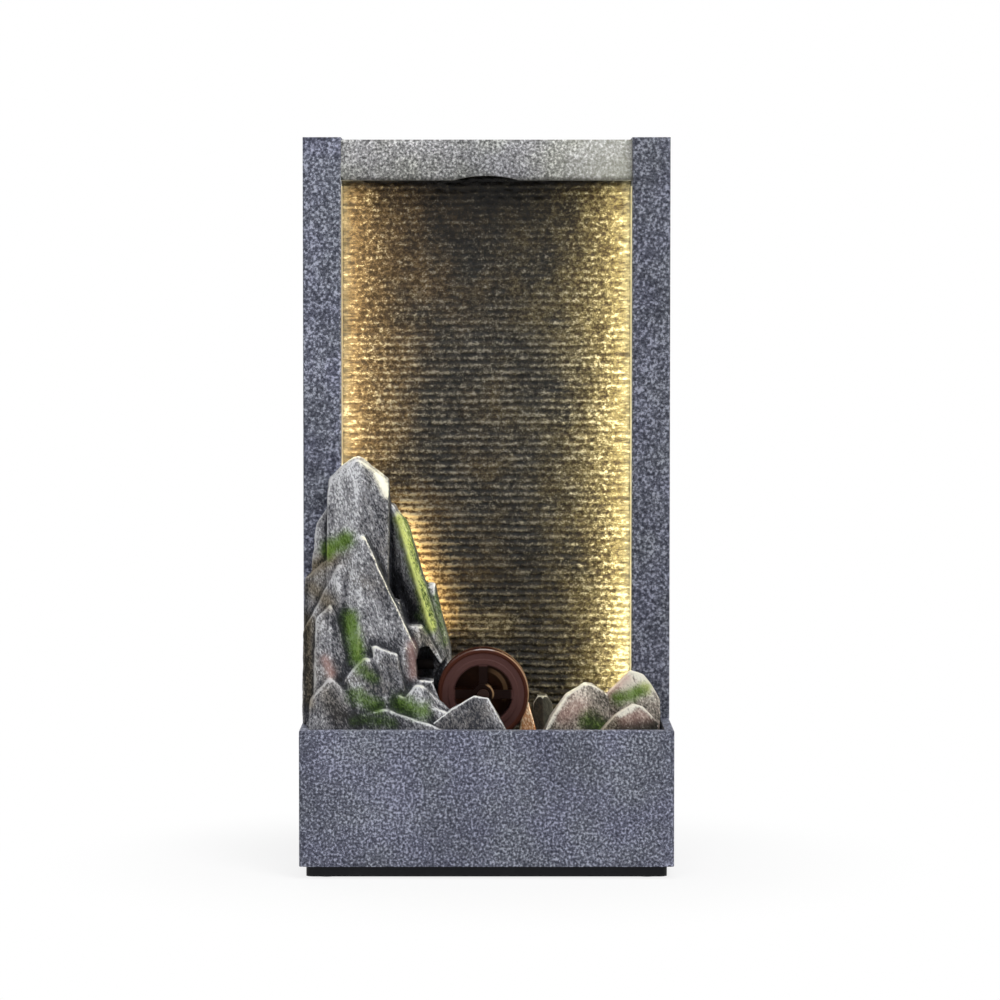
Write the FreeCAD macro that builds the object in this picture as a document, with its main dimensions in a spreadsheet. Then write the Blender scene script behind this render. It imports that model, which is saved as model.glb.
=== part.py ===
"""Tabletop water-wall fountain: a granite-look basin and frame, a ribbed wall that water runs down,
edge lights, a rockery, a water wheel and the pump that feeds them.

Millimetres. +X is to the right, +Y to the back and +Z up. The origin is the middle of the footprint,
on the surface that the fountain stands on.
"""

import FreeCAD
import Part

import math
import os

import Sketcher
from FreeCAD import Placement, Rotation, Vector

doc = FreeCAD.newDocument("tabletop_fountain")

# Driving dimensions

driving_sizes = {
    # overall
    "unit_width": 280.0,
    "unit_depth": 180.0,
    "unit_height": 555.0,
    "slack": 0.3,
    "shaft_play": 0.05,
    # plinth, pads and screws
    "plinth_height": 8.0,
    "plinth_inset": 5.0,
    "plinth_corner": 6.0,
    "plinth_rim": 28.0,
    "plinth_hollow": 3.0,
    "pad_radius": 8.0,
    "pad_stand": 1.2,
    "pad_sink": 1.0,
    "pad_inset": 20.0,
    "screw_radius": 1.25,
    "screw_head_radius": 3.0,
    "screw_head_height": 2.0,
    "screw_bite": 9.0,
    "plinth_screw_inset": 9.5,
    # basin
    "basin_height": 102.0,
    "basin_wall": 7.0,
    "basin_floor": 6.0,
    "basin_corner": 3.0,
    "basin_edge": 1.5,
    "core_wall": 7.0,
    "peg_height": 15.0,
    "peg_length": 60.0,
    # deck
    "deck_drop": 16.0,
    "deck_thickness": 4.0,
    "deck_ledge": 5.0,
    "deck_gap": 3.0,
    "drain_slots": 7,
    "drain_length": 22.0,
    "drain_width": 6.0,
    "drain_pitch": 29.0,
    # frame
    "frame_depth": 95.0,
    "pillar_width": 29.0,
    "pillar_wall": 5.0,
    "pillar_inner_wall": 7.0,
    "pillar_cap": 5.0,
    "pillar_edge": 2.0,
    "boss_height": 12.0,
    "boss_depth": 14.0,
    "boss_margin": 40.0,
    "lintel_height": 31.0,
    "lintel_setback": 6.0,
    "lintel_thickness": 11.0,
    "lintel_lean": 4.0,
    "lintel_drop": 1.5,
    "arch_width": 50.0,
    "arch_rise": 3.5,
    "cover_thickness": 4.0,
    # ribbed wall and spill trough
    "wall_recess": 26.0,
    "wall_plate": 6.0,
    "wall_tongue": 4.0,
    "wall_tuck": 5.0,
    "rib_pitch": 5.9,
    "rib_height": 1.8,
    "trough_wall": 3.0,
    "weir_drop": 8.0,
    "ledge_reach": 10.0,
    "ledge_height": 6.0,
    # edge lights
    "led_width": 10.0,
    "led_depth": 3.5,
    "led_setback": 16.0,
    "led_margin": 4.0,
    "tape_width": 8.0,
    "tape_thickness": 0.4,
    "chip_width": 3.5,
    "chip_length": 2.8,
    "chip_height": 1.4,
    "chip_pitch": 16.5,
    "lens_thickness": 1.2,
    "lens_bulge": 0.8,
    "led_lead_radius": 1.5,
    "rock_led_width": 5.0,
    "rock_led_depth": 4.5,
    "rock_lead_radius": 1.0,
    # water wheel
    "wheel_radius": 34.5,
    "wheel_width": 24.0,
    "wheel_gap": 24.4,
    "wheel_lift": 38.8,
    "wheel_back": 54.0,
    "shroud_thickness": 4.0,
    "shroud_width": 12.5,
    "shroud_groove": 1.0,
    "wheel_hub": 7.8,
    "spoke_width": 6.5,
    "web_thickness": 1.2,
    "spoke_thickness": 3.0,
    "spoke_count": 4,
    "bucket_count": 12,
    "bucket_plate": 1.3,
    "bucket_bow": 2.2,
    "axle_radius": 2.0,
    "post_gap": 4.0,
    "post_cap": 1.5,
    "post_thickness": 6.0,
    "post_width": 9.0,
    "post_foot": 16.0,
    "bush_wall": 1.4,
    # pump
    "pump_height": 34.0,
    "pump_depth": 34.0,
    "motor_length": 34.0,
    "volute_length": 12.0,
    "volute_wall": 2.5,
    "volute_radius": 14.0,
    "strainer_length": 12.0,
    "strainer_wall": 2.0,
    "strainer_slots": 4,
    "pump_edge": 3.0,
    "rotor_radius": 8.4,
    "rotor_length": 24.0,
    "rotor_gap": 0.6,
    "pump_shaft_radius": 1.0,
    "shaft_seat": 5.0,
    "vane_count": 6,
    "vane_radius": 12.0,
    "vane_height": 6.0,
    "dial_radius": 9.0,
    "dial_thickness": 3.0,
    "dial_grip": 3.0,
    "dial_pin": 2.0,
    "cup_height": 5.0,
    "cup_radius": 6.5,
    "outlet_radius": 6.0,
    "outlet_height": 12.0,
    # water lines
    "riser_back": 35.0,
    "hose_wall": 2.0,
    "line_radius": 5.0,
    "line_wall": 1.4,
    "branch_radius": 4.0,
    "branch_wall": 1.2,
    "branch_reach": 16.0,
    "sleeve": 12.0,
    "barb_flange": 9.0,
    "nut_flats": 18.0,
    "nut_height": 5.0,
    "spout_left": 55.4,
    "spout_rise": 61.0,
    "spout_reach": 18.0,
    "spout_collar": 7.0,
    # power entry
    "box_width": 44.0,
    "box_height": 30.0,
    "box_depth": 22.0,
    "box_wall": 2.0,
    "box_left": 40.0,
    "box_lift": 30.0,
    "jack_radius": 5.5,
    "jack_flange": 7.5,
    "jack_flange_height": 1.5,
    "jack_length": 14.0,
    "jack_bore": 2.9,
    "jack_bore_depth": 9.0,
    "jack_pin": 1.0,
    "jack_nut_height": 3.0,
    "pump_lead_radius": 2.0,
    # rockery and loose stones
    "mountain_width": 112.0,
    "mountain_back": 8.6,
    "mountain_height": 217.5,
    "mountain_left": 1.0,
    "front_stone_width": 65.0,
    "front_stone_depth": 21.5,
    "front_stone_height": 40.4,
    "front_stone_left": 42.4,
    "low_stone_gap": 8.1,
    "low_stone_depth": 46.0,
    "low_stone_height": 47.5,
    "low_stone_right": 42.0,
    "low_stone_back": 24.0,
    "tall_stone_width": 48.0,
    "tall_stone_depth": 34.0,
    "tall_stone_height": 55.4,
    "tall_stone_right": 8.0,
    "small_stone_width": 46.0,
    "small_stone_depth": 26.0,
    "small_stone_height": 34.1,
    "small_stone_right": 10.0,
    "wet_pebble_width": 22.0,
    "wet_pebble_height": 33.5,
    "lit_pebble_width": 16.0,
    "lit_pebble_height": 29.0,
    "cave_radius": 11.0,
}

sheet = doc.addObject("Spreadsheet::Sheet", "sizes")
for row, (alias, number) in enumerate(driving_sizes.items(), start=1):
    sheet.set(f"A{row}", alias)
    sheet.set(f"B{row}", str(number))
    sheet.setAlias(f"B{row}", alias)
doc.recompute()


class Size:
    """A length that carries its number and the expression that works it out from the sheet."""

    def __init__(self, number, text):
        self.number = number
        self.text = text

    def __float__(self):
        return float(self.number)

    def __add__(self, other):
        other = size_of(other)
        return Size(self.number + other.number, f"({self.text} + {other.text})")

    def __sub__(self, other):
        other = size_of(other)
        return Size(self.number - other.number, f"({self.text} - {other.text})")

    def __mul__(self, other):
        other = size_of(other)
        return Size(self.number * other.number, f"({self.text} * {other.text})")

    def __truediv__(self, other):
        other = size_of(other)
        return Size(self.number / other.number, f"({self.text} / {other.text})")

    def __neg__(self):
        return Size(-self.number, f"(-{self.text})")

    __radd__ = __add__
    __rmul__ = __mul__

    def __rsub__(self, other):
        return size_of(other) - self


def size_of(value):
    """Any number as a Size."""
    if isinstance(value, Size):
        return value
    return Size(float(value), f"({float(value):.9g})")


def cell(alias):
    """The sheet's cell of that alias, as a Size."""
    return Size(float(sheet.get(alias)), f"sizes.{alias}")


def count(alias):
    """The sheet's cell of that alias, as a whole number."""
    return int(round(float(sheet.get(alias))))


# Documents and sketches

subparts = []
plane_normal = {"XY_Plane": 1, "XZ_Plane": -1, "YZ_Plane": 1}


def keep(obj):
    """Marks an object as a sub-part that is written out under its Label."""
    subparts.append(obj)
    return obj


def bind(obj, prop, value):
    """Ties a property to the sheet."""
    obj.setExpression(prop, size_of(value).text)


def place(obj, x, y, z):
    """Ties an object's position to the sheet."""
    for axis, value in zip("xyz", (x, y, z)):
        bind(obj, f"Placement.Base.{axis}", value)


def new_body(label, at=None):
    """An empty body, with its own origin at a point where one is given."""
    body = doc.addObject("PartDesign::Body", label)
    body.Label = label
    if at is not None:
        place(body, *at)
    return keep(body)


def rect(x0, x1, y0, y1):
    """A rectangle's corners."""
    return [(x0, y0), (x1, y0), (x1, y1), (x0, y1)]


def mirrored(points, side):
    """Corners with their first coordinate on the left or right side."""
    return [(x * side, y) for x, y in points]


def disc(x, y, radius):
    """A circle, told from an outline by being a tuple."""
    return (x, y, radius)


def ring_of_points(sides, radius, turn=0.0):
    """The corners of a regular outline round the sketch's own origin."""
    angles = [math.radians(turn + 360.0 * i / sides) for i in range(sides)]
    return [(radius * math.cos(a), radius * math.sin(a)) for a in angles]


def origin_feature(body, role):
    return next(f for f in body.Origin.OriginFeatures if f.Role == role)


def draw_circle(sketch, loop):
    x, y, radius = (size_of(v) for v in loop)
    curve = sketch.addGeometry(Part.Circle(Vector(float(x), float(y), 0), Vector(0, 0, 1), float(radius)))
    for kind, value in (("DistanceX", x), ("DistanceY", y)):
        index = sketch.addConstraint(Sketcher.Constraint(kind, -1, 1, curve, 3, float(value)))
        sketch.setExpression(f"Constraints[{index}]", value.text)
    index = sketch.addConstraint(Sketcher.Constraint("Radius", curve, float(radius)))
    sketch.setExpression(f"Constraints[{index}]", radius.text)


def arc_through(start, end, bulge):
    """The arc from start to end that bulges to the left of the way by the given height."""
    chord = end - start
    left = Vector(-chord.y, chord.x, 0).normalize()
    return Part.Arc(start, (start + end) * 0.5 + left * bulge, end)


def draw_outline(sketch, loop):
    """A closed outline. A corner is (x, y), or (x, y, bulge) where an arc leads to the next corner."""
    corners = [tuple(size_of(v) for v in corner) for corner in loop]
    points = [Vector(float(c[0]), float(c[1]), 0) for c in corners]
    ends = []
    for i, corner in enumerate(corners):
        start, end = points[i], points[(i + 1) % len(points)]
        if len(corner) == 2:
            curve = sketch.addGeometry(Part.LineSegment(start, end))
        else:
            curve = sketch.addGeometry(arc_through(start, end, float(corner[2])))
        forward = sketch.getPoint(curve, 1).distanceToPoint(start) < 1e-6
        ends.append((curve, 1, 2) if forward else (curve, 2, 1))
    for i, (curve, start, end) in enumerate(ends):
        following = ends[(i + 1) % len(ends)]
        sketch.addConstraint(Sketcher.Constraint("Coincident", curve, end, following[0], following[1]))
    for i, (curve, start, end) in enumerate(ends):
        for kind, value in (("DistanceX", corners[i][0]), ("DistanceY", corners[i][1])):
            index = sketch.addConstraint(Sketcher.Constraint(kind, -1, 1, curve, start, float(value)))
            sketch.setExpression(f"Constraints[{index}]", value.text)
        if len(corners[i]) == 3:
            following = corners[(i + 1) % len(corners)]
            across, along = following[0] - corners[i][0], following[1] - corners[i][1]
            bulge = corners[i][2] if float(corners[i][2]) > 0 else -corners[i][2]
            radius = ((across * across + along * along) / 4 + bulge * bulge) / (bulge * 2)
            index = sketch.addConstraint(Sketcher.Constraint("Radius", curve, float(radius)))
            sketch.setExpression(f"Constraints[{index}]", radius.text)


def new_sketch(body, role, level, loops):
    """A sketch of closed loops on one of the body's planes, at a level along that plane's axis."""
    sketch = body.newObject("Sketcher::SketchObject", f"{body.Label}_sketch")
    sketch.AttachmentSupport = (origin_feature(body, role), [""])
    sketch.MapMode = "FlatFace"
    bind(sketch, "AttachmentOffset.Base.z", size_of(level) * plane_normal[role])
    for loop in loops:
        if isinstance(loop, tuple):
            draw_circle(sketch, loop)
        else:
            draw_outline(sketch, loop)
    return sketch


def pad(body, role, level, length, *loops, towards=1):
    """Adds the loops' area as solid, from the level towards plus or minus along the axis."""
    feature_sketch = new_sketch(body, role, level, loops)
    feature = body.newObject("PartDesign::Pad", f"{body.Label}_pad")
    feature.Profile = feature_sketch
    feature.Reversed = towards != plane_normal[role]
    bind(feature, "Length", length)
    return feature


def pocket(body, role, level, length, *loops, towards=-1):
    """Cuts the loops' area away, from the level towards plus or minus along the axis."""
    doc.recompute()
    before = body.Shape.Volume
    feature_sketch = new_sketch(body, role, level, loops)
    feature = body.newObject("PartDesign::Pocket", f"{body.Label}_pocket")
    feature.Profile = feature_sketch
    feature.Reversed = towards == plane_normal[role]
    bind(feature, "Length", length)
    doc.recompute()
    if not body.Shape.Volume < before:
        raise RuntimeError(f"a pocket of {body.Label} cuts nothing")
    return feature


def revolve(body, role, axis, *loops):
    """Turns the loops once round the sketch's own horizontal or vertical axis."""
    feature_sketch = new_sketch(body, role, 0, loops)
    feature = body.newObject("PartDesign::Revolution", f"{body.Label}_turned")
    feature.Profile = feature_sketch
    feature.ReferenceAxis = (feature_sketch, [axis])
    feature.Angle = 360.0
    return feature


def polar(body, feature, axis_role, copies):
    """Repeats a feature evenly round one of the body's axes."""
    doc.recompute()
    pattern = body.newObject("PartDesign::PolarPattern", f"{body.Label}_round")
    pattern.Originals = [feature]
    pattern.Axis = (origin_feature(body, axis_role), [""])
    pattern.Angle = 360.0
    pattern.Occurrences = copies
    body.Tip = pattern
    return pattern


def linear(body, feature, axis_role, pitch, copies):
    """Repeats a feature along one of the body's axes."""
    doc.recompute()
    pattern = body.newObject("PartDesign::LinearPattern", f"{body.Label}_row")
    pattern.Originals = [feature]
    pattern.Direction = (origin_feature(body, axis_role), [""])
    pattern.Occurrences = copies
    bind(pattern, "Length", pitch * (copies - 1))
    body.Tip = pattern
    return pattern


def fillet(body, radius, chosen):
    """Rounds the edges of the body so far that the test picks."""
    doc.recompute()
    base = body.Tip
    names = [f"Edge{i}" for i, edge in enumerate(base.Shape.Edges, start=1) if chosen(edge)]
    feature = body.newObject("PartDesign::Fillet", f"{body.Label}_fillet")
    feature.Base = (base, names)
    bind(feature, "Radius", radius)
    return feature


def runs_along(edge, axis):
    """True for a straight edge along x, y or z."""
    ends = edge.BoundBox
    spans = {"x": ends.XLength, "y": ends.YLength, "z": ends.ZLength}
    return spans.pop(axis) > 1e-3 and max(spans.values()) < 1e-6


def near(a, b):
    return abs(float(a) - float(b)) < 1e-4


def block(label, x, y, z):
    """A box between pairs of levels."""
    box = doc.addObject("Part::Box", label)
    for prop, (low, high) in zip(("Length", "Width", "Height"), (x, y, z)):
        bind(box, prop, size_of(high) - low)
    place(box, x[0], y[0], z[0])
    return box


axis_turn = {
    "x": Rotation(Vector(0, 1, 0), 90),
    "y": Rotation(Vector(1, 0, 0), -90),
    "z": Rotation(),
}


def rod(label, axis, start, radius, length):
    """A cylinder from a point towards plus along an axis."""
    cylinder = doc.addObject("Part::Cylinder", label)
    cylinder.Placement = Placement(Vector(), axis_turn[axis])
    bind(cylinder, "Radius", radius)
    bind(cylinder, "Height", length)
    place(cylinder, *start)
    return cylinder


def fuse(label, *shapes):
    union = doc.addObject("Part::MultiFuse", label)
    union.Shapes = list(shapes)
    return union


def group(label, members):
    """Identical pieces as one node of separate solids."""
    compound = doc.addObject("Part::Compound", label)
    compound.Label = label
    compound.Links = members
    return keep(compound)


def feature_of(label, shape):
    """A shape made in code, as a sub-part."""
    feature = doc.addObject("Part::Feature", label)
    feature.Label = label
    feature.Shape = shape
    return keep(feature)


# Levels that several pieces share

slack = cell("slack")
play = cell("shaft_play")
half_width = cell("unit_width") / 2
front = -cell("unit_depth") / 2
back = cell("unit_depth") / 2

plinth_bottom = cell("pad_stand")
basin_bottom = plinth_bottom + cell("plinth_height")
basin_top = basin_bottom + cell("basin_height")
floor_top = basin_bottom + cell("basin_floor")
inner_half = half_width - cell("basin_wall")
inner_front = front + cell("basin_wall")
inner_back = back - cell("basin_wall")
deck_top = basin_top - cell("deck_drop")
deck_bottom = deck_top - cell("deck_thickness")

frame_front = back - cell("frame_depth")
opening_half = half_width - cell("pillar_width")
frame_top = cell("unit_height")
cavity_in = opening_half + cell("pillar_inner_wall")
cavity_out = half_width - cell("pillar_wall")
cover_face = back - cell("cover_thickness")

lintel_top = frame_top - cell("lintel_drop")
lintel_bottom = lintel_top - cell("lintel_height")
lintel_front = frame_front + cell("lintel_setback")
lintel_back = lintel_front + cell("lintel_thickness")

wall_front = frame_front + cell("wall_recess")
plate_front = wall_front + cell("rib_height")
plate_back = plate_front + cell("wall_plate")
wall_top = lintel_bottom + cell("wall_tuck")
wall_foot = deck_bottom
trough_top = lintel_top - cell("cover_thickness")
trough_floor = wall_top + cell("trough_wall")

led_middle = frame_front + cell("led_setback")
led_foot = basin_top + cell("led_margin")
led_head = lintel_bottom - cell("led_margin")
tape_seat = opening_half + cell("led_depth")
led_lead_level = basin_top + cell("box_lift")
led_lead_back = cover_face - cell("box_depth") / 2

wheel_x = cell("mountain_left") + cell("mountain_width") + cell("wheel_gap") - half_width
wheel_y = front + cell("wheel_back")
wheel_z = deck_top + cell("wheel_lift")
wheel_half = cell("wheel_width") / 2
shroud_inner = cell("wheel_radius") - cell("shroud_width")
bucket_half = wheel_half - cell("shroud_thickness")

riser_x = size_of(0)
riser_y = back - cell("riser_back")
trough_back = riser_y + cell("barb_flange") + cell("trough_wall")
pump_floor = floor_top + cell("cup_height")
pump_axis = pump_floor + cell("pump_height") / 2
pump_top = pump_floor + cell("pump_height")
volute_half = cell("volute_length") / 2
motor_left = riser_x - volute_half - cell("motor_length")
strainer_right = riser_x + volute_half + cell("strainer_length")
tee_branch = pump_top + cell("outlet_height") + cell("branch_radius") * 2
spout_x = wheel_x - cell("spout_left")
sleeve = cell("sleeve")

corner_signs = [(-1, -1), (1, -1), (1, 1), (-1, 1)]
sides = {"left": -1, "right": 1}


# Plinth, pads and screws

screw_x = half_width - cell("plinth_screw_inset")
screw_y = back - cell("plinth_screw_inset")
screw_seat = plinth_bottom + cell("screw_head_height") + slack


def make_plinth():
    body = new_body("plinth")
    half_x, half_y = half_width - cell("plinth_inset"), back - cell("plinth_inset")
    pad(body, "XY_Plane", plinth_bottom, cell("plinth_height"), rect(-half_x, half_x, -half_y, half_y))
    fillet(body, cell("plinth_corner"), lambda e: runs_along(e, "z"))
    rim = cell("plinth_rim")
    hollow = rect(rim - half_x, half_x - rim, rim - half_y, half_y - rim)
    pocket(body, "XY_Plane", plinth_bottom, cell("plinth_hollow"), hollow, towards=1)
    pad_spots = [disc(x, y, cell("pad_radius") + slack) for x, y in pad_centres]
    pocket(body, "XY_Plane", plinth_bottom, cell("pad_sink"), *pad_spots, towards=1)
    heads = [disc(screw_x * i, screw_y * j, cell("screw_head_radius") + slack) for i, j in corner_signs]
    pocket(body, "XY_Plane", plinth_bottom, screw_seat - plinth_bottom, *heads, towards=1)
    holes = [disc(screw_x * i, screw_y * j, cell("screw_radius") + slack) for i, j in corner_signs]
    pocket(body, "XY_Plane", plinth_bottom, cell("plinth_height"), *holes, towards=1)


pad_x, pad_y = half_width - cell("pad_inset"), back - cell("pad_inset")
pad_centres = [(pad_x * i, pad_y * j) for i, j in corner_signs]


def make_pads():
    height = cell("pad_stand") + cell("pad_sink")
    pads = [rod("pad", "z", (x, y, 0), cell("pad_radius"), height) for x, y in pad_centres]
    group("anti_slip_pads", pads)


def screw(label, axis, seat, head_side, bite):
    """A pan-head screw: its head starts at the seat and its shank runs the other way."""
    head_height = cell("screw_head_height")
    shift = {"y": (0, 1, 0), "z": (0, 0, 1)}[axis]
    head_start = [s - head_height * k if head_side < 0 else s for s, k in zip(seat, shift)]
    shank_start = [s if head_side < 0 else s - bite * k for s, k in zip(seat, shift)]
    head = rod(f"{label}_head", axis, head_start, cell("screw_head_radius"), head_height)
    shank = rod(f"{label}_shank", axis, shank_start, cell("screw_radius"), bite)
    return fuse(label, head, shank)


def make_plinth_screws():
    bite = basin_bottom - screw_seat + cell("screw_bite")
    seats = [(screw_x * i, screw_y * j, screw_seat) for i, j in corner_signs]
    group("plinth_screws", [screw("plinth_screw", "z", seat, -1, bite) for seat in seats])


# Basin and deck


def stepped_outline(half_wide, half_narrow, near_edge, step, far_edge):
    """A T-shaped outline: wide in front of the frame and narrow between the pillars' shoulders."""
    return [
        (-half_wide, near_edge),
        (half_wide, near_edge),
        (half_wide, step),
        (half_narrow, step),
        (half_narrow, far_edge),
        (-half_narrow, far_edge),
        (-half_narrow, step),
        (-half_wide, step),
    ]


def make_basin():
    body = new_body("basin")
    outer = rect(-half_width, half_width, front, back)
    pad(body, "XY_Plane", basin_bottom, cell("basin_height"), outer)
    fillet(body, cell("basin_corner"), lambda e: runs_along(e, "z"))
    fillet(body, cell("basin_edge"), lambda e: near(e.BoundBox.ZMin, basin_top))
    ledge = cell("deck_ledge")
    upper = stepped_outline(inner_half, opening_half, inner_front, frame_front, inner_back)
    pocket(body, "XY_Plane", basin_top, basin_top - deck_bottom, upper)
    lower = stepped_outline(
        inner_half - ledge, opening_half - ledge, inner_front + ledge, frame_front, inner_back
    )
    pocket(body, "XY_Plane", deck_bottom, deck_bottom - floor_top, lower)
    peg_front = frame_front + cell("pillar_wall") + slack
    peg = rect(cavity_in + slack, cavity_out - slack, peg_front, peg_front + cell("peg_length"))
    core_wall = cell("core_wall")
    core_front = frame_front + core_wall
    core_in, core_out = opening_half - ledge + core_wall, half_width - core_wall
    core = rect(core_in, core_out, core_front, core_front + cell("peg_length"))
    pegs = [mirrored(peg, side) for side in sides.values()]
    cores = [mirrored(core, side) for side in sides.values()]
    pad(body, "XY_Plane", basin_top, cell("peg_height"), *pegs)
    core_height = cell("basin_height") - core_wall
    pocket(body, "XY_Plane", basin_bottom, core_height, *cores, towards=1)
    pilots = [disc(screw_x * i, screw_y * j, cell("screw_radius") + play) for i, j in corner_signs]
    pocket(body, "XY_Plane", basin_bottom, cell("screw_bite") + slack, *pilots, towards=1)


def make_deck():
    body = new_body("deck")
    far_edge = wall_front - cell("deck_gap")
    outline = stepped_outline(
        inner_half - slack, opening_half - slack, inner_front + slack, frame_front - slack, far_edge
    )
    pad(body, "XY_Plane", deck_bottom, cell("deck_thickness"), outline)
    slot_back = wall_front - cell("deck_gap") * 2
    slot_front = slot_back - cell("drain_width")
    slots = []
    for i in range(count("drain_slots")):
        middle = cell("drain_pitch") * (i - (count("drain_slots") - 1) / 2)
        reach = cell("drain_length") / 2
        slots.append(rect(middle - reach, middle + reach, slot_front, slot_back))
    spout_hole = disc(spout_x, wheel_y, cell("branch_radius") + slack)
    pocket(body, "XY_Plane", deck_top, cell("deck_thickness"), *slots, spout_hole)


# Frame: pillars, lintel, ribbed wall and covers

boss_levels = [
    basin_top + cell("boss_margin"),
    (basin_top + frame_top) / 2,
    frame_top - cell("boss_margin"),
]
boss_x = (cavity_in + cavity_out) / 2


def make_pillar(name, side):
    body = new_body(f"{name}_pillar")
    channel = [
        (opening_half, frame_front),
        (half_width, frame_front),
        (half_width, back),
        (cavity_out, back),
        (cavity_out, frame_front + cell("pillar_wall")),
        (cavity_in, frame_front + cell("pillar_wall")),
        (cavity_in, cover_face),
        (opening_half, cover_face),
    ]
    shaft_height = frame_top - cell("pillar_cap") - basin_top
    pad(body, "XY_Plane", basin_top, shaft_height, mirrored(channel, side))
    cap = mirrored(rect(opening_half, half_width, frame_front, back), side)
    pad(body, "XY_Plane", frame_top - cell("pillar_cap"), cell("pillar_cap"), cap)
    front_edges = lambda e: runs_along(e, "z") and near(e.BoundBox.YMin, frame_front)
    fillet(body, cell("pillar_edge"), front_edges)
    bosses = []
    pilots = []
    embed = cell("pillar_wall") / 2
    for level in boss_levels:
        reach = cell("boss_height") / 2
        boss = rect(cavity_in - embed, cavity_out + embed, level - reach, level + reach)
        bosses.append(mirrored(boss, side))
        pilots.append(disc(boss_x * side, level, cell("screw_radius") + play))
    pad(body, "XZ_Plane", cover_face, cell("boss_depth"), *bosses, towards=-1)
    ledge = rect(opening_half - cell("ledge_reach"), opening_half + embed, plate_back + slack, trough_back)
    pad(body, "XY_Plane", wall_top - cell("ledge_height"), cell("ledge_height"), mirrored(ledge, side))
    groove_end = opening_half + cell("wall_tongue") + slack
    groove = rect(opening_half, groove_end, plate_front - slack, plate_back + slack)
    pocket(body, "XY_Plane", basin_top, wall_top + slack - basin_top, mirrored(groove, side), towards=1)
    reach = cell("led_width") / 2
    channel_cut = rect(opening_half, tape_seat, led_middle - reach, led_middle + reach)
    pocket(body, "XY_Plane", led_foot, led_head - led_foot, mirrored(channel_cut, side), towards=1)
    pocket(body, "XZ_Plane", cover_face, cell("screw_bite") + slack, *pilots, towards=-1)
    lead_hole = cell("led_lead_radius") + slack
    holes = [disc(led_middle, led_lead_level, lead_hole), disc(led_lead_back, led_lead_level, lead_hole)]
    pocket(body, "YZ_Plane", cavity_in * side, cell("pillar_inner_wall"), *holes, towards=-side)


def make_lintel():
    body = new_body("lintel")
    section = [
        (lintel_front, lintel_bottom),
        (lintel_back, lintel_bottom),
        (lintel_back, lintel_top),
        (lintel_front + cell("lintel_lean"), lintel_top),
    ]
    pad(body, "YZ_Plane", -opening_half, opening_half * 2, section)
    rise, span = cell("arch_rise"), cell("arch_width")
    radius = (span * span / 4 + rise * rise) / (rise * 2)
    arch = disc(0, lintel_bottom + rise - radius, radius)
    pocket(body, "XZ_Plane", lintel_front, cell("lintel_thickness"), arch, towards=1)


def make_water_wall():
    body = new_body("water_wall")
    rib_half = opening_half - slack
    tongue_half = opening_half + cell("wall_tongue")
    outline = [
        (-rib_half, wall_foot),
        (rib_half, wall_foot),
        (rib_half, basin_top),
        (tongue_half, basin_top),
        (tongue_half, wall_top),
        (-tongue_half, wall_top),
        (-tongue_half, basin_top),
        (-rib_half, basin_top),
    ]
    pad(body, "XZ_Plane", plate_front, cell("wall_plate"), outline)
    pitch = cell("rib_pitch")
    rib = [(plate_front, wall_foot + pitch), (plate_front, wall_foot, cell("rib_height"))]
    first_rib = pad(body, "YZ_Plane", -rib_half, rib_half * 2, rib)
    rib_count = int((float(wall_top) - float(wall_foot)) / float(pitch))
    linear(body, first_rib, "Z_Axis", pitch, rib_count)


def make_rear_cover():
    body = new_body("rear_cover")
    half = cavity_out - slack
    outline = rect(-half, half, basin_top + slack, trough_top)
    pad(body, "XZ_Plane", cover_face, cell("cover_thickness"), outline)
    spots = [(boss_x * side, level) for side in sides.values() for level in boss_levels]
    sunk = cell("screw_head_height") + slack
    heads = [disc(x, z, cell("screw_head_radius") + slack) for x, z in spots]
    pocket(body, "XZ_Plane", back, sunk, *heads)
    holes = [disc(x, z, cell("screw_radius") + slack) for x, z in spots]
    pocket(body, "XZ_Plane", back, cell("cover_thickness"), *holes)
    flange_seat = disc(box_x, box_z, cell("jack_flange") + slack)
    pocket(body, "XZ_Plane", back, cell("jack_flange_height"), flange_seat)
    jack_hole = disc(box_x, box_z, cell("jack_radius") + play)
    pocket(body, "XZ_Plane", back, cell("cover_thickness"), jack_hole)


def make_rear_cover_screws():
    seat_y = back - cell("screw_head_height") - slack
    bite = seat_y - cover_face + cell("screw_bite")
    seats = [(boss_x * side, seat_y, level) for side in sides.values() for level in boss_levels]
    group("rear_cover_screws", [screw("cover_screw", "y", seat, 1, bite) for seat in seats])


def make_top_cover():
    body = new_body("top_cover")
    outline = rect(slack - opening_half, opening_half - slack, lintel_back + slack, back)
    pad(body, "XY_Plane", trough_top, cell("cover_thickness"), outline)


# Spill trough and water lines


def make_trough():
    body = new_body("spill_trough")
    half, wall = opening_half - slack, cell("trough_wall")
    pad(body, "XY_Plane", wall_top, trough_top - wall_top, rect(-half, half, wall_front, trough_back))
    inside = rect(wall - half, half - wall, wall_front + wall, trough_back - wall)
    pocket(body, "XY_Plane", trough_top, trough_top - trough_floor, inside)
    weir = rect(wall - half, half - wall, wall_front, wall_front + wall)
    pocket(body, "XY_Plane", trough_top, cell("weir_drop"), weir)
    port = disc(riser_x, riser_y, cell("outlet_radius") + play)
    pocket(body, "XY_Plane", trough_floor, wall, port)


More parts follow.
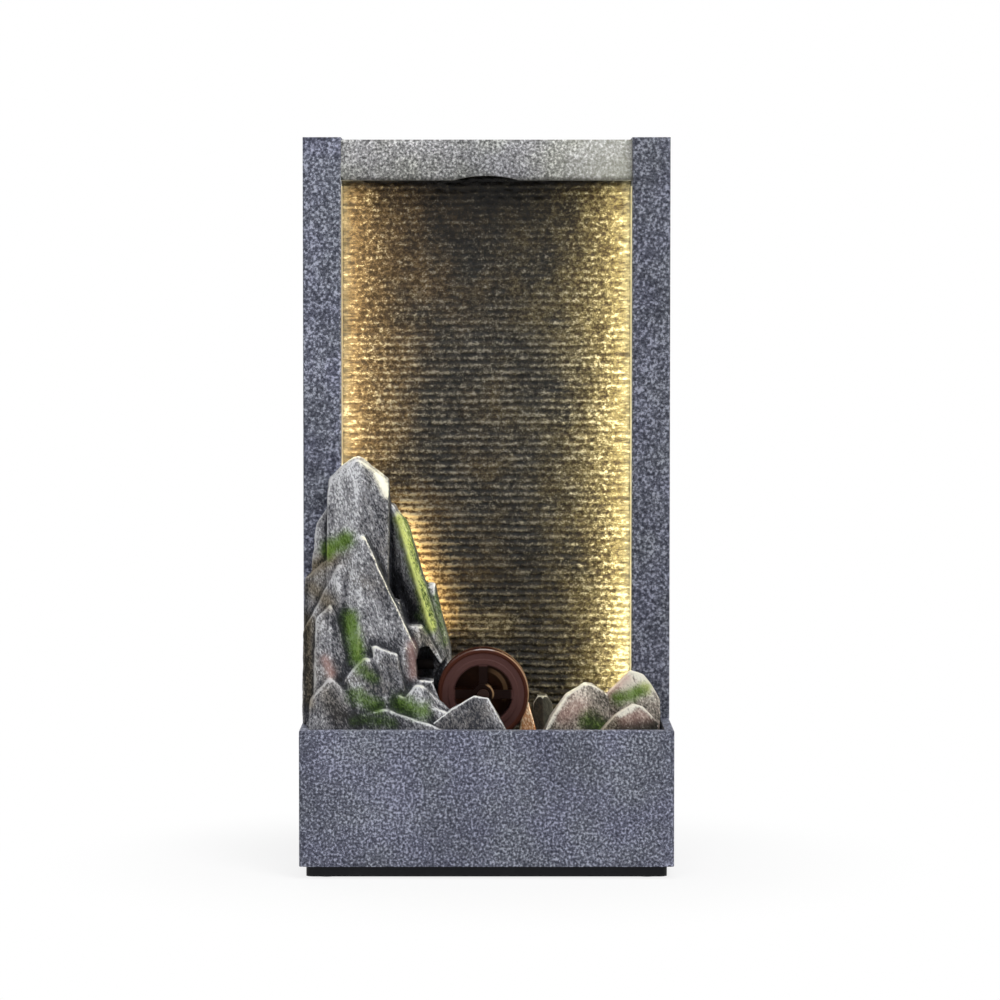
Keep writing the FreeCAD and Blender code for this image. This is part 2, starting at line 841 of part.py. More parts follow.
def make_trough_barb():
    body = new_body("trough_barb", at=(riser_x, riser_y, wall_top))
    bore = cell("line_radius") - cell("line_wall")
    floor_rise, flange = cell("trough_wall"), cell("barb_flange")
    section = [
        (bore, -(cell("nut_height") + sleeve)),
        (cell("line_radius"), -(cell("nut_height") + sleeve)),
        (cell("line_radius"), -cell("nut_height")),
        (cell("outlet_radius"), -cell("nut_height")),
        (cell("outlet_radius"), floor_rise),
        (flange, floor_rise),
        (flange, floor_rise + cell("line_wall")),
        (bore, floor_rise + cell("line_wall")),
    ]
    revolve(body, "XZ_Plane", "V_Axis", section)


def make_barb_nut():
    body = new_body("barb_nut", at=(riser_x, riser_y, wall_top))
    corner = cell("nut_flats") / math.sqrt(3)
    hexagon = ring_of_points(6, corner)
    bore = disc(0, 0, cell("outlet_radius") + play)
    pad(body, "XY_Plane", 0, cell("nut_height"), hexagon, bore, towards=-1)


def make_riser_hose():
    body = new_body("riser_hose", at=(riser_x, riser_y, 0))
    bore = cell("line_radius") + play
    foot = tee_branch + cell("branch_radius") * 2
    head = wall_top - cell("nut_height") - slack
    walls = (disc(0, 0, bore + cell("hose_wall")), disc(0, 0, bore))
    pad(body, "XY_Plane", foot, head - foot, *walls)


def make_tee():
    """A tee on the pump's outlet: the riser stands on it and the wheel's branch leaves to the front."""
    body = new_body("tee_fitting", at=(riser_x, riser_y, 0))
    socket = cell("outlet_radius") + play
    bore = cell("line_radius") - cell("line_wall")
    socket_top = pump_top + cell("outlet_height")
    shoulder = tee_branch + cell("branch_radius") * 2
    outer = socket + cell("line_wall")
    section = [
        (socket, pump_top + slack),
        (outer, pump_top + slack),
        (outer, shoulder),
        (cell("line_radius"), shoulder),
        (cell("line_radius"), shoulder + sleeve),
        (bore, shoulder + sleeve),
        (bore, socket_top),
        (socket, socket_top),
    ]
    revolve(body, "XZ_Plane", "V_Axis", section)
    embed = (bore + outer) / 2
    arm = disc(0, tee_branch, cell("branch_radius"))
    pad(body, "XZ_Plane", -embed, cell("branch_reach") - embed, arm, towards=-1)
    hollow = disc(0, tee_branch, cell("branch_radius") - cell("branch_wall"))
    pocket(body, "XZ_Plane", 0, cell("branch_reach"), hollow, towards=-1)


def path_of(points, longest_cut):
    """A wire of straight runs joined by tangent arcs, each as large as its runs and the limit allow."""
    points = [Vector(*(float(v) for v in p)) for p in points]
    edges = []
    start = points[0]
    for before, corner, after in zip(points, points[1:], points[2:]):
        way_in, way_out = (corner - before).normalize(), (after - corner).normalize()
        half_turn = way_in.getAngle(way_out) / 2
        cut = min(float(longest_cut), 0.45 * min((corner - before).Length, (after - corner).Length))
        radius = cut / math.tan(half_turn)
        enter, leave = corner - way_in * cut, corner + way_out * cut
        towards = (way_out - way_in).normalize()
        middle = corner + towards * (radius / math.cos(half_turn) - radius)
        edges.append(Part.LineSegment(start, enter).toShape())
        edges.append(Part.Arc(enter, middle, leave).toShape())
        start = leave
    edges.append(Part.LineSegment(start, points[-1]).toShape())
    return Part.Wire(edges)


def rod_along(points, radius, longest_cut=float(cell("unit_depth"))):
    """A solid round rod swept along a path."""
    path = path_of(points, longest_cut)
    first = path.Edges[0]
    direction = first.tangentAt(first.FirstParameter)
    rim = Part.Wire([Part.Circle(first.valueAt(first.FirstParameter), direction, float(radius)).toShape()])
    return path.makePipeShell([rim], True, False)


def tube_along(points, radius, bore):
    return rod_along(points, radius).cut(rod_along(points, bore))


def make_wheel_hose():
    bore = cell("branch_radius") + play
    exit_y = riser_y - cell("branch_reach") + sleeve / 2
    low, dip = tee_branch - cell("branch_reach"), pump_axis
    route = [
        (riser_x, exit_y, tee_branch),
        (riser_x, exit_y - sleeve * 2, tee_branch),
        (riser_x - sleeve, frame_front, low),
        (spout_x, wheel_y, dip),
        (spout_x, wheel_y, deck_bottom - slack),
    ]
    feature_of("wheel_hose", tube_along(route, bore + cell("hose_wall"), bore))


def spout_route(foot):
    top = deck_top + cell("spout_rise")
    return [(spout_x, wheel_y, foot), (spout_x, wheel_y, top), (spout_x + cell("spout_reach"), wheel_y, top)]


def make_spout():
    foot = deck_bottom - sleeve
    tube = tube_along(spout_route(foot), cell("branch_radius"), cell("branch_radius") - cell("branch_wall"))
    base = Vector(float(spout_x), float(wheel_y), float(deck_top))
    collar = Part.makeCylinder(float(cell("spout_collar")), float(cell("line_wall")), base)
    hole = Part.makeCylinder(float(cell("branch_radius")), float(cell("line_wall")), base)
    feature_of("spout", tube.fuse(collar.cut(hole)).removeSplitter())


# Edge lights


def make_lights(name, side):
    seat, thick = tape_seat, cell("tape_thickness")
    half_tape, half_chip = cell("tape_width") / 2, cell("chip_width") / 2
    foot, head = led_foot + slack, led_head - slack

    def across(low, high):
        return (low, high) if side > 0 else (-high, -low)

    tape_y = (led_middle - half_tape, led_middle + half_tape)
    keep(block(f"{name}_led_tape", across(seat - thick, seat), tape_y, (foot, head)))
    chips = []
    chip_count = int((float(head) - float(foot)) / float(cell("chip_pitch")))
    chip_x = across(seat - thick - cell("chip_height"), seat - thick)
    for i in range(chip_count):
        level = foot + cell("chip_pitch") * (i + 0.5)
        half_long = cell("chip_length") / 2
        chip_y = (led_middle - half_chip, led_middle + half_chip)
        chips.append(block(f"{name}_led_chip", chip_x, chip_y, (level - half_long, level + half_long)))
    group(f"{name}_led_chips", chips)
    lens = new_body(f"{name}_led_lens")
    reach = cell("led_width") / 2 - slack / 2
    inner = (opening_half + cell("lens_thickness")) * side
    outer = opening_half * side
    section = [
        (outer, led_middle + reach, cell("lens_bulge") * (-side)),
        (outer, led_middle - reach),
        (inner, led_middle - reach),
        (inner, led_middle + reach),
    ]
    pad(lens, "XY_Plane", foot, head - foot, section)


def make_led_lead(name, side):
    """From the tape's tail into the pillar, back along it and across to the power box."""
    tail = (tape_seat + play) * side
    box_edge = box_x + cell("box_width") / 2 * side
    route = [
        (tail, led_middle, led_lead_level),
        (boss_x * side, led_middle, led_lead_level),
        (boss_x * side, led_lead_back, led_lead_level),
        (box_edge, led_lead_back, led_lead_level),
    ]
    corner_room = boss_x - cavity_in - cell("led_lead_radius") * 2
    feature_of(f"{name}_led_lead", rod_along(route, cell("led_lead_radius"), corner_room))


# Light bar on the back of the rockery, along its right-hand edge

rock_led_head = (0.62, 0.767)
rock_led_foot = (0.915, 0.39)


def on_rockery(across, up):
    """A place on the rockery's back, in shares of its width and height."""
    x = cell("mountain_left") + cell("mountain_width") * across - half_width
    return x, deck_top + cell("mountain_height") * up


def make_rock_light():
    seat = wall_front - cell("mountain_back")
    head_x, head_z = on_rockery(*rock_led_head)
    foot_x, foot_z = on_rockery(*rock_led_foot)
    half = cell("rock_led_width") / 2
    outline = [
        (head_x - half, head_z), (head_x + half, head_z),
        (foot_x + half, foot_z), (foot_x - half, foot_z)]
    thick = cell("tape_thickness")
    pad(new_body("rock_led_tape"), "XZ_Plane", seat, thick, outline)
    pad(new_body("rock_led_lens"), "XZ_Plane", seat + thick, cell("rock_led_depth"), outline)
    lead_y = seat + slack + cell("rock_lead_radius")
    lead_back = cover_face - cell("box_depth") / 2
    low = deck_bottom - cell("deck_thickness") * 2
    route = [
        (foot_x, lead_y, foot_z),
        (foot_x, lead_y, low),
        (foot_x, lead_back, low),
        (foot_x, lead_back, box_z - cell("box_height") / 2),
    ]
    feature_of("rock_led_lead", rod_along(route, cell("rock_lead_radius"), cell("deck_thickness")))


# Power entry

box_x = -cell("box_left")
box_z = led_lead_level


def make_power_box():
    body = new_body("power_box")
    half, wall = cell("box_width") / 2, cell("box_wall")
    reach = cell("box_height") / 2
    box_front = cover_face - cell("box_depth")
    outline = rect(box_x - half, box_x + half, box_z - reach, box_z + reach)
    pad(body, "XZ_Plane", box_front, cell("box_depth"), outline)
    inside = rect(box_x - half + wall, box_x + half - wall, box_z - reach + wall, box_z + reach - wall)
    pocket(body, "XZ_Plane", cover_face, cell("box_depth") - wall, inside)


def make_dc_inlet():
    body = new_body("dc_inlet", at=(box_x, back, box_z))
    flange_in, pin = -cell("jack_flange_height"), cell("jack_pin")
    end, socket_end = -cell("jack_length"), -cell("jack_bore_depth")
    section = [
        (0, end),
        (cell("jack_radius"), end),
        (cell("jack_radius"), flange_in),
        (cell("jack_flange"), flange_in),
        (cell("jack_flange"), 0),
        (cell("jack_bore"), 0),
        (cell("jack_bore"), socket_end),
        (pin, socket_end),
        (pin, flange_in),
        (0, flange_in),
    ]
    revolve(body, "XY_Plane", "V_Axis", section)


def make_inlet_nut():
    body = new_body("inlet_nut", at=(box_x, cover_face, box_z))
    hexagon = ring_of_points(6, cell("nut_flats") / math.sqrt(3))
    bore = disc(0, 0, cell("jack_radius") + play)
    pad(body, "XZ_Plane", 0, cell("jack_nut_height"), hexagon, bore, towards=-1)


def make_pump_lead():
    lead_x, gland_x = motor_left - cell("pump_lead_radius") * 5, motor_left
    lead_y = cover_face - cell("box_depth") / 2
    route = [
        (lead_x, lead_y, box_z - cell("box_height") / 2),
        (lead_x, lead_y, pump_top),
        (lead_x, riser_y, pump_axis),
        (gland_x, riser_y, pump_axis),
    ]
    feature_of("pump_lead", rod_along(route, cell("pump_lead_radius")))


# Pump


def make_pump_body():
    body = new_body("pump_body")
    half = cell("pump_depth") / 2
    right = riser_x - volute_half
    outline = rect(riser_y - half, riser_y + half, pump_floor, pump_top)
    pad(body, "YZ_Plane", motor_left, cell("motor_length"), outline)
    fillet(body, cell("pump_edge"), lambda e: runs_along(e, "x"))
    well = disc(riser_y, pump_axis, cell("rotor_radius") + cell("rotor_gap"))
    pocket(body, "YZ_Plane", right, cell("rotor_length") + cell("rotor_gap") * 2, well)
    seat = disc(riser_y, pump_axis, cell("pump_shaft_radius") + play / 2)
    pocket(body, "YZ_Plane", right, cell("rotor_length") + cell("shaft_seat"), seat)


def make_pump_volute():
    body = new_body("pump_volute")
    half = cell("pump_depth") / 2
    left, right = riser_x - volute_half, riser_x + volute_half
    outline = rect(riser_y - half, riser_y + half, pump_floor, pump_top)
    pad(body, "YZ_Plane", left, cell("volute_length"), outline)
    fillet(body, cell("pump_edge"), lambda e: runs_along(e, "x"))
    embed = cell("volute_wall") / 2
    spigot = disc(riser_x, riser_y, cell("outlet_radius"))
    pad(body, "XY_Plane", pump_top - embed, cell("outlet_height") + embed, spigot)
    chamber = disc(riser_y, pump_axis, cell("volute_radius"))
    pocket(body, "YZ_Plane", left, cell("volute_length") - cell("volute_wall"), chamber, towards=1)
    eye = disc(riser_y, pump_axis, cell("line_radius"))
    pocket(body, "YZ_Plane", left, cell("volute_length"), eye, towards=1)
    outlet = disc(riser_x, riser_y, cell("line_radius") - cell("line_wall"))
    outlet_depth = cell("outlet_height") + cell("pump_height") / 2 - cell("volute_radius") / 2
    pocket(body, "XY_Plane", pump_top + cell("outlet_height"), outlet_depth, outlet)


def make_pump_strainer():
    body = new_body("pump_strainer")
    half, wall = cell("pump_depth") / 2, cell("strainer_wall")
    left = riser_x + volute_half
    outline = rect(riser_y - half, riser_y + half, pump_floor, pump_top)
    pad(body, "YZ_Plane", left, cell("strainer_length"), outline)
    fillet(body, cell("pump_edge"), lambda e: runs_along(e, "x"))
    inside = rect(riser_y - half + wall, riser_y + half - wall, pump_floor + wall, pump_top - wall)
    pocket(body, "YZ_Plane", left, cell("strainer_length") - wall, inside, towards=1)
    slots = []
    spacing = (cell("strainer_length") - wall) / count("strainer_slots")
    for i in range(count("strainer_slots")):
        start = left + spacing * (i + 0.25)
        slots.append(rect(start, start + spacing / 2, pump_floor + wall * 2, pump_top - wall * 2))
    pocket(body, "XZ_Plane", riser_y - half, cell("pump_depth"), *slots, towards=1)
    pin = disc(riser_y, pump_axis, cell("dial_pin") + play)
    pocket(body, "YZ_Plane", strainer_right, wall, pin)


def make_flow_dial():
    """A flow-control knob on the strainer: a disc, a finger grip across it and a pin through the wall."""
    body = new_body("flow_dial", at=(strainer_right, riser_y, pump_axis))
    pad(body, "YZ_Plane", slack, cell("dial_thickness"), disc(0, 0, cell("dial_radius")))
    grip_half = cell("dial_grip") / 2
    reach = cell("dial_radius") - cell("dial_grip")
    grip = rect(-grip_half, grip_half, -reach, reach)
    pad(body, "YZ_Plane", slack, cell("dial_thickness") + cell("dial_grip"), grip)
    pad(body, "YZ_Plane", slack, cell("strainer_wall") * 2, disc(0, 0, cell("dial_pin")), towards=-1)


def make_pump_shaft():
    start = riser_x - volute_half - cell("rotor_length") - cell("shaft_seat")
    length = cell("rotor_length") + cell("shaft_seat") + cell("vane_height") + cell("rotor_gap")
    keep(rod("pump_shaft", "x", (start, riser_y, pump_axis), cell("pump_shaft_radius"), length))


rotor_right = -cell("rotor_gap")


def make_rotor_magnet():
    body = new_body("rotor_magnet", at=(riser_x - volute_half, riser_y, pump_axis))
    walls = (disc(0, 0, cell("rotor_radius")), disc(0, 0, cell("pump_shaft_radius") + play))
    pad(body, "YZ_Plane", rotor_right, cell("rotor_length") - cell("rotor_gap"), *walls, towards=-1)


def make_impeller():
    body = new_body("impeller", at=(riser_x - volute_half, riser_y, pump_axis))
    hub = cell("pump_shaft_radius") * 3
    walls = (disc(0, 0, hub), disc(0, 0, cell("pump_shaft_radius") + play))
    gap = cell("rotor_gap")
    pad(body, "YZ_Plane", rotor_right, cell("vane_height") + gap, *walls)
    half_vane = cell("bucket_plate") / 2
    blade = rect(hub - half_vane, cell("vane_radius"), -half_vane, half_vane)
    vane = pad(body, "YZ_Plane", gap, cell("vane_height") - gap, blade)
    polar(body, vane, "X_Axis", count("vane_count"))


def make_suction_cups():
    cups = []
    reach_x, reach_y = cell("motor_length") / 3, cell("pump_depth") / 2 - cell("cup_radius")
    middle = motor_left + cell("motor_length") / 2
    for i, j in corner_signs:
        cup = doc.addObject("Part::Cone", "suction_cup")
        bind(cup, "Radius1", cell("cup_radius"))
        bind(cup, "Radius2", cell("cup_radius") / 2)
        bind(cup, "Height", cell("cup_height"))
        place(cup, middle + reach_x * i, riser_y + reach_y * j, floor_top)
        cups.append(cup)
    group("suction_cups", cups)


# Water wheel

wheel_at = (wheel_x, wheel_y, wheel_z)


def make_shroud(name, side):
    """One side of the wheel: a grooved ring, spokes and half of the hub; a web closes the rear."""
    body = new_body(f"wheel_{name}_shroud", at=wheel_at)
    rim, inner = cell("wheel_radius"), shroud_inner
    groove = cell("shroud_groove")
    face, seat = wheel_half, bucket_half
    step = (rim - inner) / 5
    section = [
        (inner, seat),
        (rim, seat),
        (rim, face - groove),
        (rim - groove, face),
        (rim - step, face),
        (rim - step - groove, face - groove),
        (inner + step * 2, face - groove),
        (inner + step * 2 - groove, face - groove / 2),
        (inner + groove, face - groove / 2),
        (inner, face - groove * 1.5),
    ]
    revolve(body, "XY_Plane", "V_Axis", [(r, y * side) for r, y in section])
    spoke_face = face - groove
    half_spoke = cell("spoke_width") / 2
    arm = rect(-half_spoke, half_spoke, cell("axle_radius") + play + half_spoke, inner + groove)
    start = spoke_face * side
    spoke = pad(body, "XZ_Plane", start, cell("spoke_thickness"), arm, towards=-side)
    polar(body, spoke, "Y_Axis", count("spoke_count"))
    if name == "rear":
        web = (disc(0, 0, inner + groove), disc(0, 0, cell("axle_radius") + play / 2))
        pad(body, "XZ_Plane", start, cell("web_thickness"), *web, towards=-side)
    hub_end = wheel_half + cell("post_gap") - slack
    boss = (disc(0, 0, cell("wheel_hub")), disc(0, 0, cell("axle_radius") + play / 2))
    pad(body, "XZ_Plane", 0, wheel_half, boss[0], boss[1], towards=side)
    nose = (disc(0, 0, cell("wheel_hub") / 2), disc(0, 0, cell("axle_radius") + play / 2))
    pad(body, "XZ_Plane", wheel_half * side, hub_end - wheel_half, nose[0], nose[1], towards=side)


def make_buckets():
    """The drum between the shrouds, with bowed paddles round it."""
    body = new_body("wheel_buckets", at=wheel_at)
    plate, bow = cell("bucket_plate"), cell("bucket_bow")
    drum = shroud_inner + plate
    walls = (disc(0, 0, drum), disc(0, 0, shroud_inner))
    pad(body, "XZ_Plane", bucket_half, bucket_half * 2, *walls, towards=-1)
    tip = cell("wheel_radius") - cell("shroud_groove")
    root = drum - plate / 2
    half = plate / 2
    blade = [(-half, root, bow), (-half - bow, tip), (half - bow, tip, -bow), (half, root)]
    paddle = pad(body, "XZ_Plane", bucket_half, bucket_half * 2, blade, towards=-1)
    polar(body, paddle, "Y_Axis", count("bucket_count"))


post_near = wheel_half + cell("post_gap")
bore_depth = cell("post_thickness") - cell("post_cap")


def make_axle():
    reach = post_near + bore_depth - play
    keep(rod("wheel_axle", "y", (wheel_x, wheel_y - reach, wheel_z), cell("axle_radius"), reach * 2))


def make_post(name, side):
    """A bearing post: a foot on the deck, a tapered leg and a round head with a blind bore."""
    body = new_body(f"{name}_post", at=(wheel_x, wheel_y, wheel_z))
    near_face = post_near * side
    half, foot_half = cell("post_width") / 2, cell("post_foot") / 2
    sole = deck_top - wheel_z
    step = sole + cell("deck_thickness")
    right_side = [(foot_half, sole), (foot_half, step), (half, step + half), (half, 0)]
    left_side = [(-x, z) for x, z in reversed(right_side)]
    pad(body, "XZ_Plane", near_face, cell("post_thickness"), right_side + left_side, towards=side)
    pad(body, "XZ_Plane", near_face, cell("post_thickness"), disc(0, 0, half), towards=side)
    bore = disc(0, 0, cell("axle_radius") + cell("bush_wall") + play)
    pocket(body, "XZ_Plane", near_face, bore_depth, bore, towards=side)


def make_bushes():
    bushes = []
    length = bore_depth
    for side in (-1, 1):
        start_y = wheel_y + post_near if side > 0 else wheel_y - post_near - length
        start = (wheel_x, start_y, wheel_z)
        outer = rod("bush_outer", "y", start, cell("axle_radius") + cell("bush_wall"), length)
        inner = rod("bush_bore", "y", start, cell("axle_radius") + play, length)
        bush = doc.addObject("Part::Cut", "bush")
        bush.Base, bush.Tool = outer, inner
        bushes.append(bush)
    group("wheel_bushes", bushes)


# Stones
# A stone is cut from a block by facets. A facet is (azimuth, gap, growth): the way it faces, in degrees
# from the right towards the back, how far it stands from the stone's axis at the crown, and how much further
# out it goes down a full height. Reaches are shares of the width and depth, and heights of the height.


def faceted(origin, spans, axis, crown, facets, grow=0.0):
    """The block between the foot and the crown level, less what lies outside each facet."""
    width, depth, height = spans
    u0, v0 = axis
    reach = 2 * max(spans)
    foot = Vector(origin.x + u0 * width, origin.y + v0 * depth, origin.z)
    low_corner = origin - Vector(grow, grow, 0)
    stone = Part.makeBox(width + 2 * grow, depth + 2 * grow, crown * height + grow, low_corner)
    for azimuth, gap, growth in facets:
        turn = math.radians(azimuth)
        normal = Vector(math.cos(turn) / width, math.sin(turn) / depth, growth / height)
        unit = Vector(normal).normalize()
        nearest = foot + unit * ((gap + growth * crown) / normal.Length + grow)
        outside = Part.makeBox(4 * reach, 4 * reach, 4 * reach, Vector(-2 * reach, -2 * reach, 0))
        outside.Placement = Placement(nearest, Rotation(Vector(0, 0, 1), unit))
        stone = stone.cut(outside)
    return stone


mountain_front = inner_front + slack
mountain_depth = wall_front - cell("mountain_back") - mountain_front
mountain_origin = Vector(
    float(-half_width + cell("mountain_left")), float(mountain_front), float(deck_top)
)
mountain_spans = (float(cell("mountain_width")), float(mountain_depth), float(cell("mountain_height")))

# (axis across and back, crown, facets)
mountain_stones = {
    "peak": ((0.37, 0.5), 1.0, [
        (180, 0.0, 3.7), (180, 0.05, 1.83), (180, 0.2, 0.02), (0, 0.0, 2.45), (0, 0.21, 0.0),
        (268, 0.0, 0.9), (246, 0.06, 0.2), (292, 0.07, 0.16), (222, 0.02, 1.2), (318, 0.0, 1.3)]),
    "shoulder_slab": ((0.19, 0.6), 0.845, [
        (180, 0.0, 1.29), (180, 0.09, 0.19), (0, 0.1, 0.1), (235, 0.02, 0.1), (280, 0.03, 0.12)]),
    "right_ridge": ((0.605, 0.75), 0.83, [
        (0, 0.0, 1.43), (0, 0.06, 0.58), (318, 0.016, 0.72), (218, 0.022, -0.24), (180, 0.1, 0.3)]),
    "right_slab": ((0.87, 0.8), 0.55, [
        (0, 0.02, 0.45), (200, 0.0, 2.0), (180, 0.06, 0.1), (250, 0.03, 0.4), (310, 0.03, 0.45)]),
    "face_slab": ((0.412, 0.34), 0.737, [
        (0, 0.0, 0.9), (180, 0.0, 2.8), (180, 0.165, 0.05), (283, 0.0, 0.32), (238, 0.0, 0.34),
        (90, 0.2, 0.3)]),
    "high_ledge": ((0.25, 0.46), 0.685, [
        (180, 0.0, 2.2), (180, 0.235, 0.05), (0, 0.1, 0.3), (225, 0.03, 0.2), (285, 0.03, 0.2),
        (90, 0.3, 0.2)]),
    "left_ledge": ((0.24, 0.38), 0.63, [
        (180, 0.0, 1.0), (180, 0.235, 0.02), (0, 0.1, 0.2), (232, 0.02, 0.25), (285, 0.03, 0.3),
        (90, 0.3, 0.2)]),
    "left_spire": ((0.193, 0.24), 0.496, [
        (180, 0.0, 1.93), (180, 0.095, 0.06), (0, 0.0, 1.08), (0, 0.022, 0.45), (238, 0.0, 0.35),
        (298, 0.0, 0.38), (90, 0.2, 0.2)]),
    "left_boulder": ((0.193, 0.1), 0.255, [
        (180, 0.0, 1.62), (180, 0.14, 0.0), (0, 0.0, 1.92), (225, 0.02, 0.8), (255, 0.0, 0.5),
        (285, 0.0, 0.5), (315, 0.02, 0.9), (90, 0.2, 0.3)]),
    "slope_slab": ((0.33, 0.2), 0.245, [
        (0, 0.0, 5.6), (180, 0.08, 0.2), (262, 0.0, 0.2), (90, 0.2, 0.3)]),
    "mossy_stone": ((0.43, 0.14), 0.315, [
        (180, 0.02, 1.6), (0, 0.03, 1.1), (250, 0.0, 0.4), (285, 0.02, 0.2), (320, 0.02, 0.6),
        (90, 0.2, 0.3)]),
    "chisel_stone": ((0.5, 0.19), 0.355, [
        (0, 0.0, 4.6), (0, 0.13, 0.43), (180, 0.03, -0.25), (255, 0.02, 0.2), (300, 0.06, 0.25),
        (90, 0.2, 0.2)]),
    "cave_jamb": ((0.66, 0.28), 0.345, [
        (0, 0.05, 3.5), (0, 0.11, 0.02), (180, 0.06, 0.05), (248, 0.02, 0.2), (300, 0.04, 0.2),
        (90, 0.2, 0.2)]),
    "cave_roof": ((0.76, 0.4), 0.415, [
        (0, 0.045, 1.15), (180, 0.1, 0.2), (258, 0.02, 0.4), (315, 0.03, 0.5), (90, 0.3, 0.2)]),
    "low_boulder": ((0.78, 0.13), 0.22, [
        (180, 0.02, 1.5), (0, 0.03, 2.1), (250, 0.0, 0.5), (300, 0.02, 0.6), (90, 0.15, 0.5)]),
    "front_ridge": ((0.565, 0.06), 0.142, [
        (180, 0.0, 7.5), (0, 0.0, 5.6), (262, 0.0, 0.4), (90, 0.06, 0.5)]),
    "core": ((0.45, 0.5), 0.5, [(0, 0.2, 0.6), (180, 0.23, 0.26), (262, 0.06, 0.5), (90, 0.27, 0.14)]),
}

front_stone_facets = [
    (0, 0.199, 0.348), (0, 0.051, 3.489), (180, -0.051, 1.067), (180, 0.024, 0.787), (180, 0.44, 0.03),
    (258, 0.06, 0.4), (305, 0.14, 0.44), (90, 0.22, 0.26)]
low_stone_facets = [
    (180, 0.14, 0.4), (180, 0.044, 0.576), (180, -0.11, 1.37),
    (0, 0.074, 8.266), (0, 0.18, 1.31), (0, 0.42, 0.04),
    (255, 0.06, 0.44), (300, 0.14, 0.41), (90, 0.2, 0.24)]
tall_stone_facets = [
    (180, -0.04, 1.16), (180, 0.3, 0.2), (0, 0.011, 3.179), (0, 0.17, 0.93), (0, 0.236, 0.629),
    (250, 0.08, 0.44), (300, 0.12, 0.4), (90, 0.16, 0.32)]
small_stone_facets = [
    (180, 0.057, 0.613), (180, -0.096, 1.256), (180, 0.4, 0.1), (0, 0.096, 2.724), (0, 0.219, 0.737),
    (252, 0.08, 0.42), (300, 0.16, 0.34), (90, 0.14, 0.34)]
pebble_facets = [
    (0, 0.3, 0.2), (0, 0.14, 0.96), (180, 0.28, 0.22), (180, 0.16, 0.94), (250, 0.24, 0.28),
    (300, 0.22, 0.3), (90, 0.28, 0.2)]
splayed_facets = [
    (0, 0.02, 0.48), (180, 0.2, 0.3), (262, 0.12, 0.4), (90, 0.22, 0.26)]


def stone_at(name, left, near_edge, width, depth, facets, grow=0.0):
    origin = Vector(float(left), float(near_edge), float(deck_top))
    spans = (float(width), float(depth), float(cell(f"{name}_height")))
    return faceted(origin, spans, (0.5, 0.5), 1.0, facets, grow)


front_stone_place = (
    wheel_x - cell("front_stone_left"),
    inner_front + slack,
    cell("front_stone_width"),
    cell("front_stone_depth"),
)
small_stone_left = inner_half - cell("small_stone_right") + cell("deck_ledge") - cell("small_stone_width")
low_stone_left = wheel_x + cell("wheel_radius") + cell("low_stone_gap")
low_stone_width = inner_half - cell("low_stone_right") + cell("deck_ledge") - low_stone_left
tall_stone_left = inner_half - cell("tall_stone_right") + cell("basin_wall") - cell("tall_stone_width")


# the cave mouth's corners about its middle, in shares of its radius
cave_corners = [
    (-1.12, -0.46), (-1.22, 0.78), (-0.93, 1.65), (-0.35, 1.75), (0.13, 1.07), (0.61, 0.31), (0.51, -0.65)]


def clearance_zones():
    """What the rockery is trimmed to: rim, pillar, wall, front stone, wheel pit, cave and spout."""
    gap, far = float(slack), 2 * float(cell("unit_width"))
    rim_corner = Vector(float(slack - inner_half) - far, -far / 2, float(basin_top + slack) - far)
    rim = Part.makeBox(far, far, far, rim_corner)
    pillar_face = float(cell("lens_bulge") + slack - opening_half)
    pillar_corner = Vector(pillar_face - far, float(frame_front - slack), 0)
    pillar = Part.makeBox(far, far, far, pillar_corner)
    deep = Part.makeBox(far, far, far, Vector(-far / 2, float(wall_front - cell("deck_gap")), 0))
    front_stone = stone_at("front_stone", *front_stone_place, front_stone_facets, grow=gap)
    pit_radius = float(cell("wheel_radius") + cell("post_gap"))
    pit_half = float(post_near)
    pit_start = Vector(float(wheel_x), float(wheel_y) - pit_half, float(wheel_z))
    pit = Part.makeCylinder(pit_radius, 2 * pit_half, pit_start, Vector(0, 1, 0))
    cave_x = float(spout_x + cell("spout_reach"))
    cave_z = float(deck_top + cell("spout_rise")) - float(cell("cave_radius")) / 2
    cave_start = Vector(cave_x, float(inner_front), cave_z)
    cave_depth = float(wheel_y + cell("spout_collar") - inner_front)
    mouth = [cave_start + Vector(x, 0, z) * float(cell("cave_radius")) for x, z in cave_corners]
    cave = Part.Face(Part.makePolygon(mouth + mouth[:1])).extrude(Vector(0, cave_depth, 0))
    bore = rod_along(spout_route(deck_top - slack), cell("branch_radius") + slack)
    collar_seat = Part.makeCylinder(
        float(cell("spout_collar") + slack),
        float(cell("line_wall") + slack),
        Vector(float(spout_x), float(wheel_y), float(deck_top)),
    )
    return [rim, pillar, deep, front_stone, pit, cave, bore, collar_seat]


def make_rockery():
    stones = [
        faceted(mountain_origin, mountain_spans, axis, crown, facets)
        for axis, crown, facets in mountain_stones.values()
    ]
    casting = stones[0].multiFuse(stones[1:])
    for zone in clearance_zones():
        casting = casting.cut(zone)
    largest = max(casting.Solids, key=lambda solid: solid.Volume)
    feature_of("rockery", largest.removeSplitter())


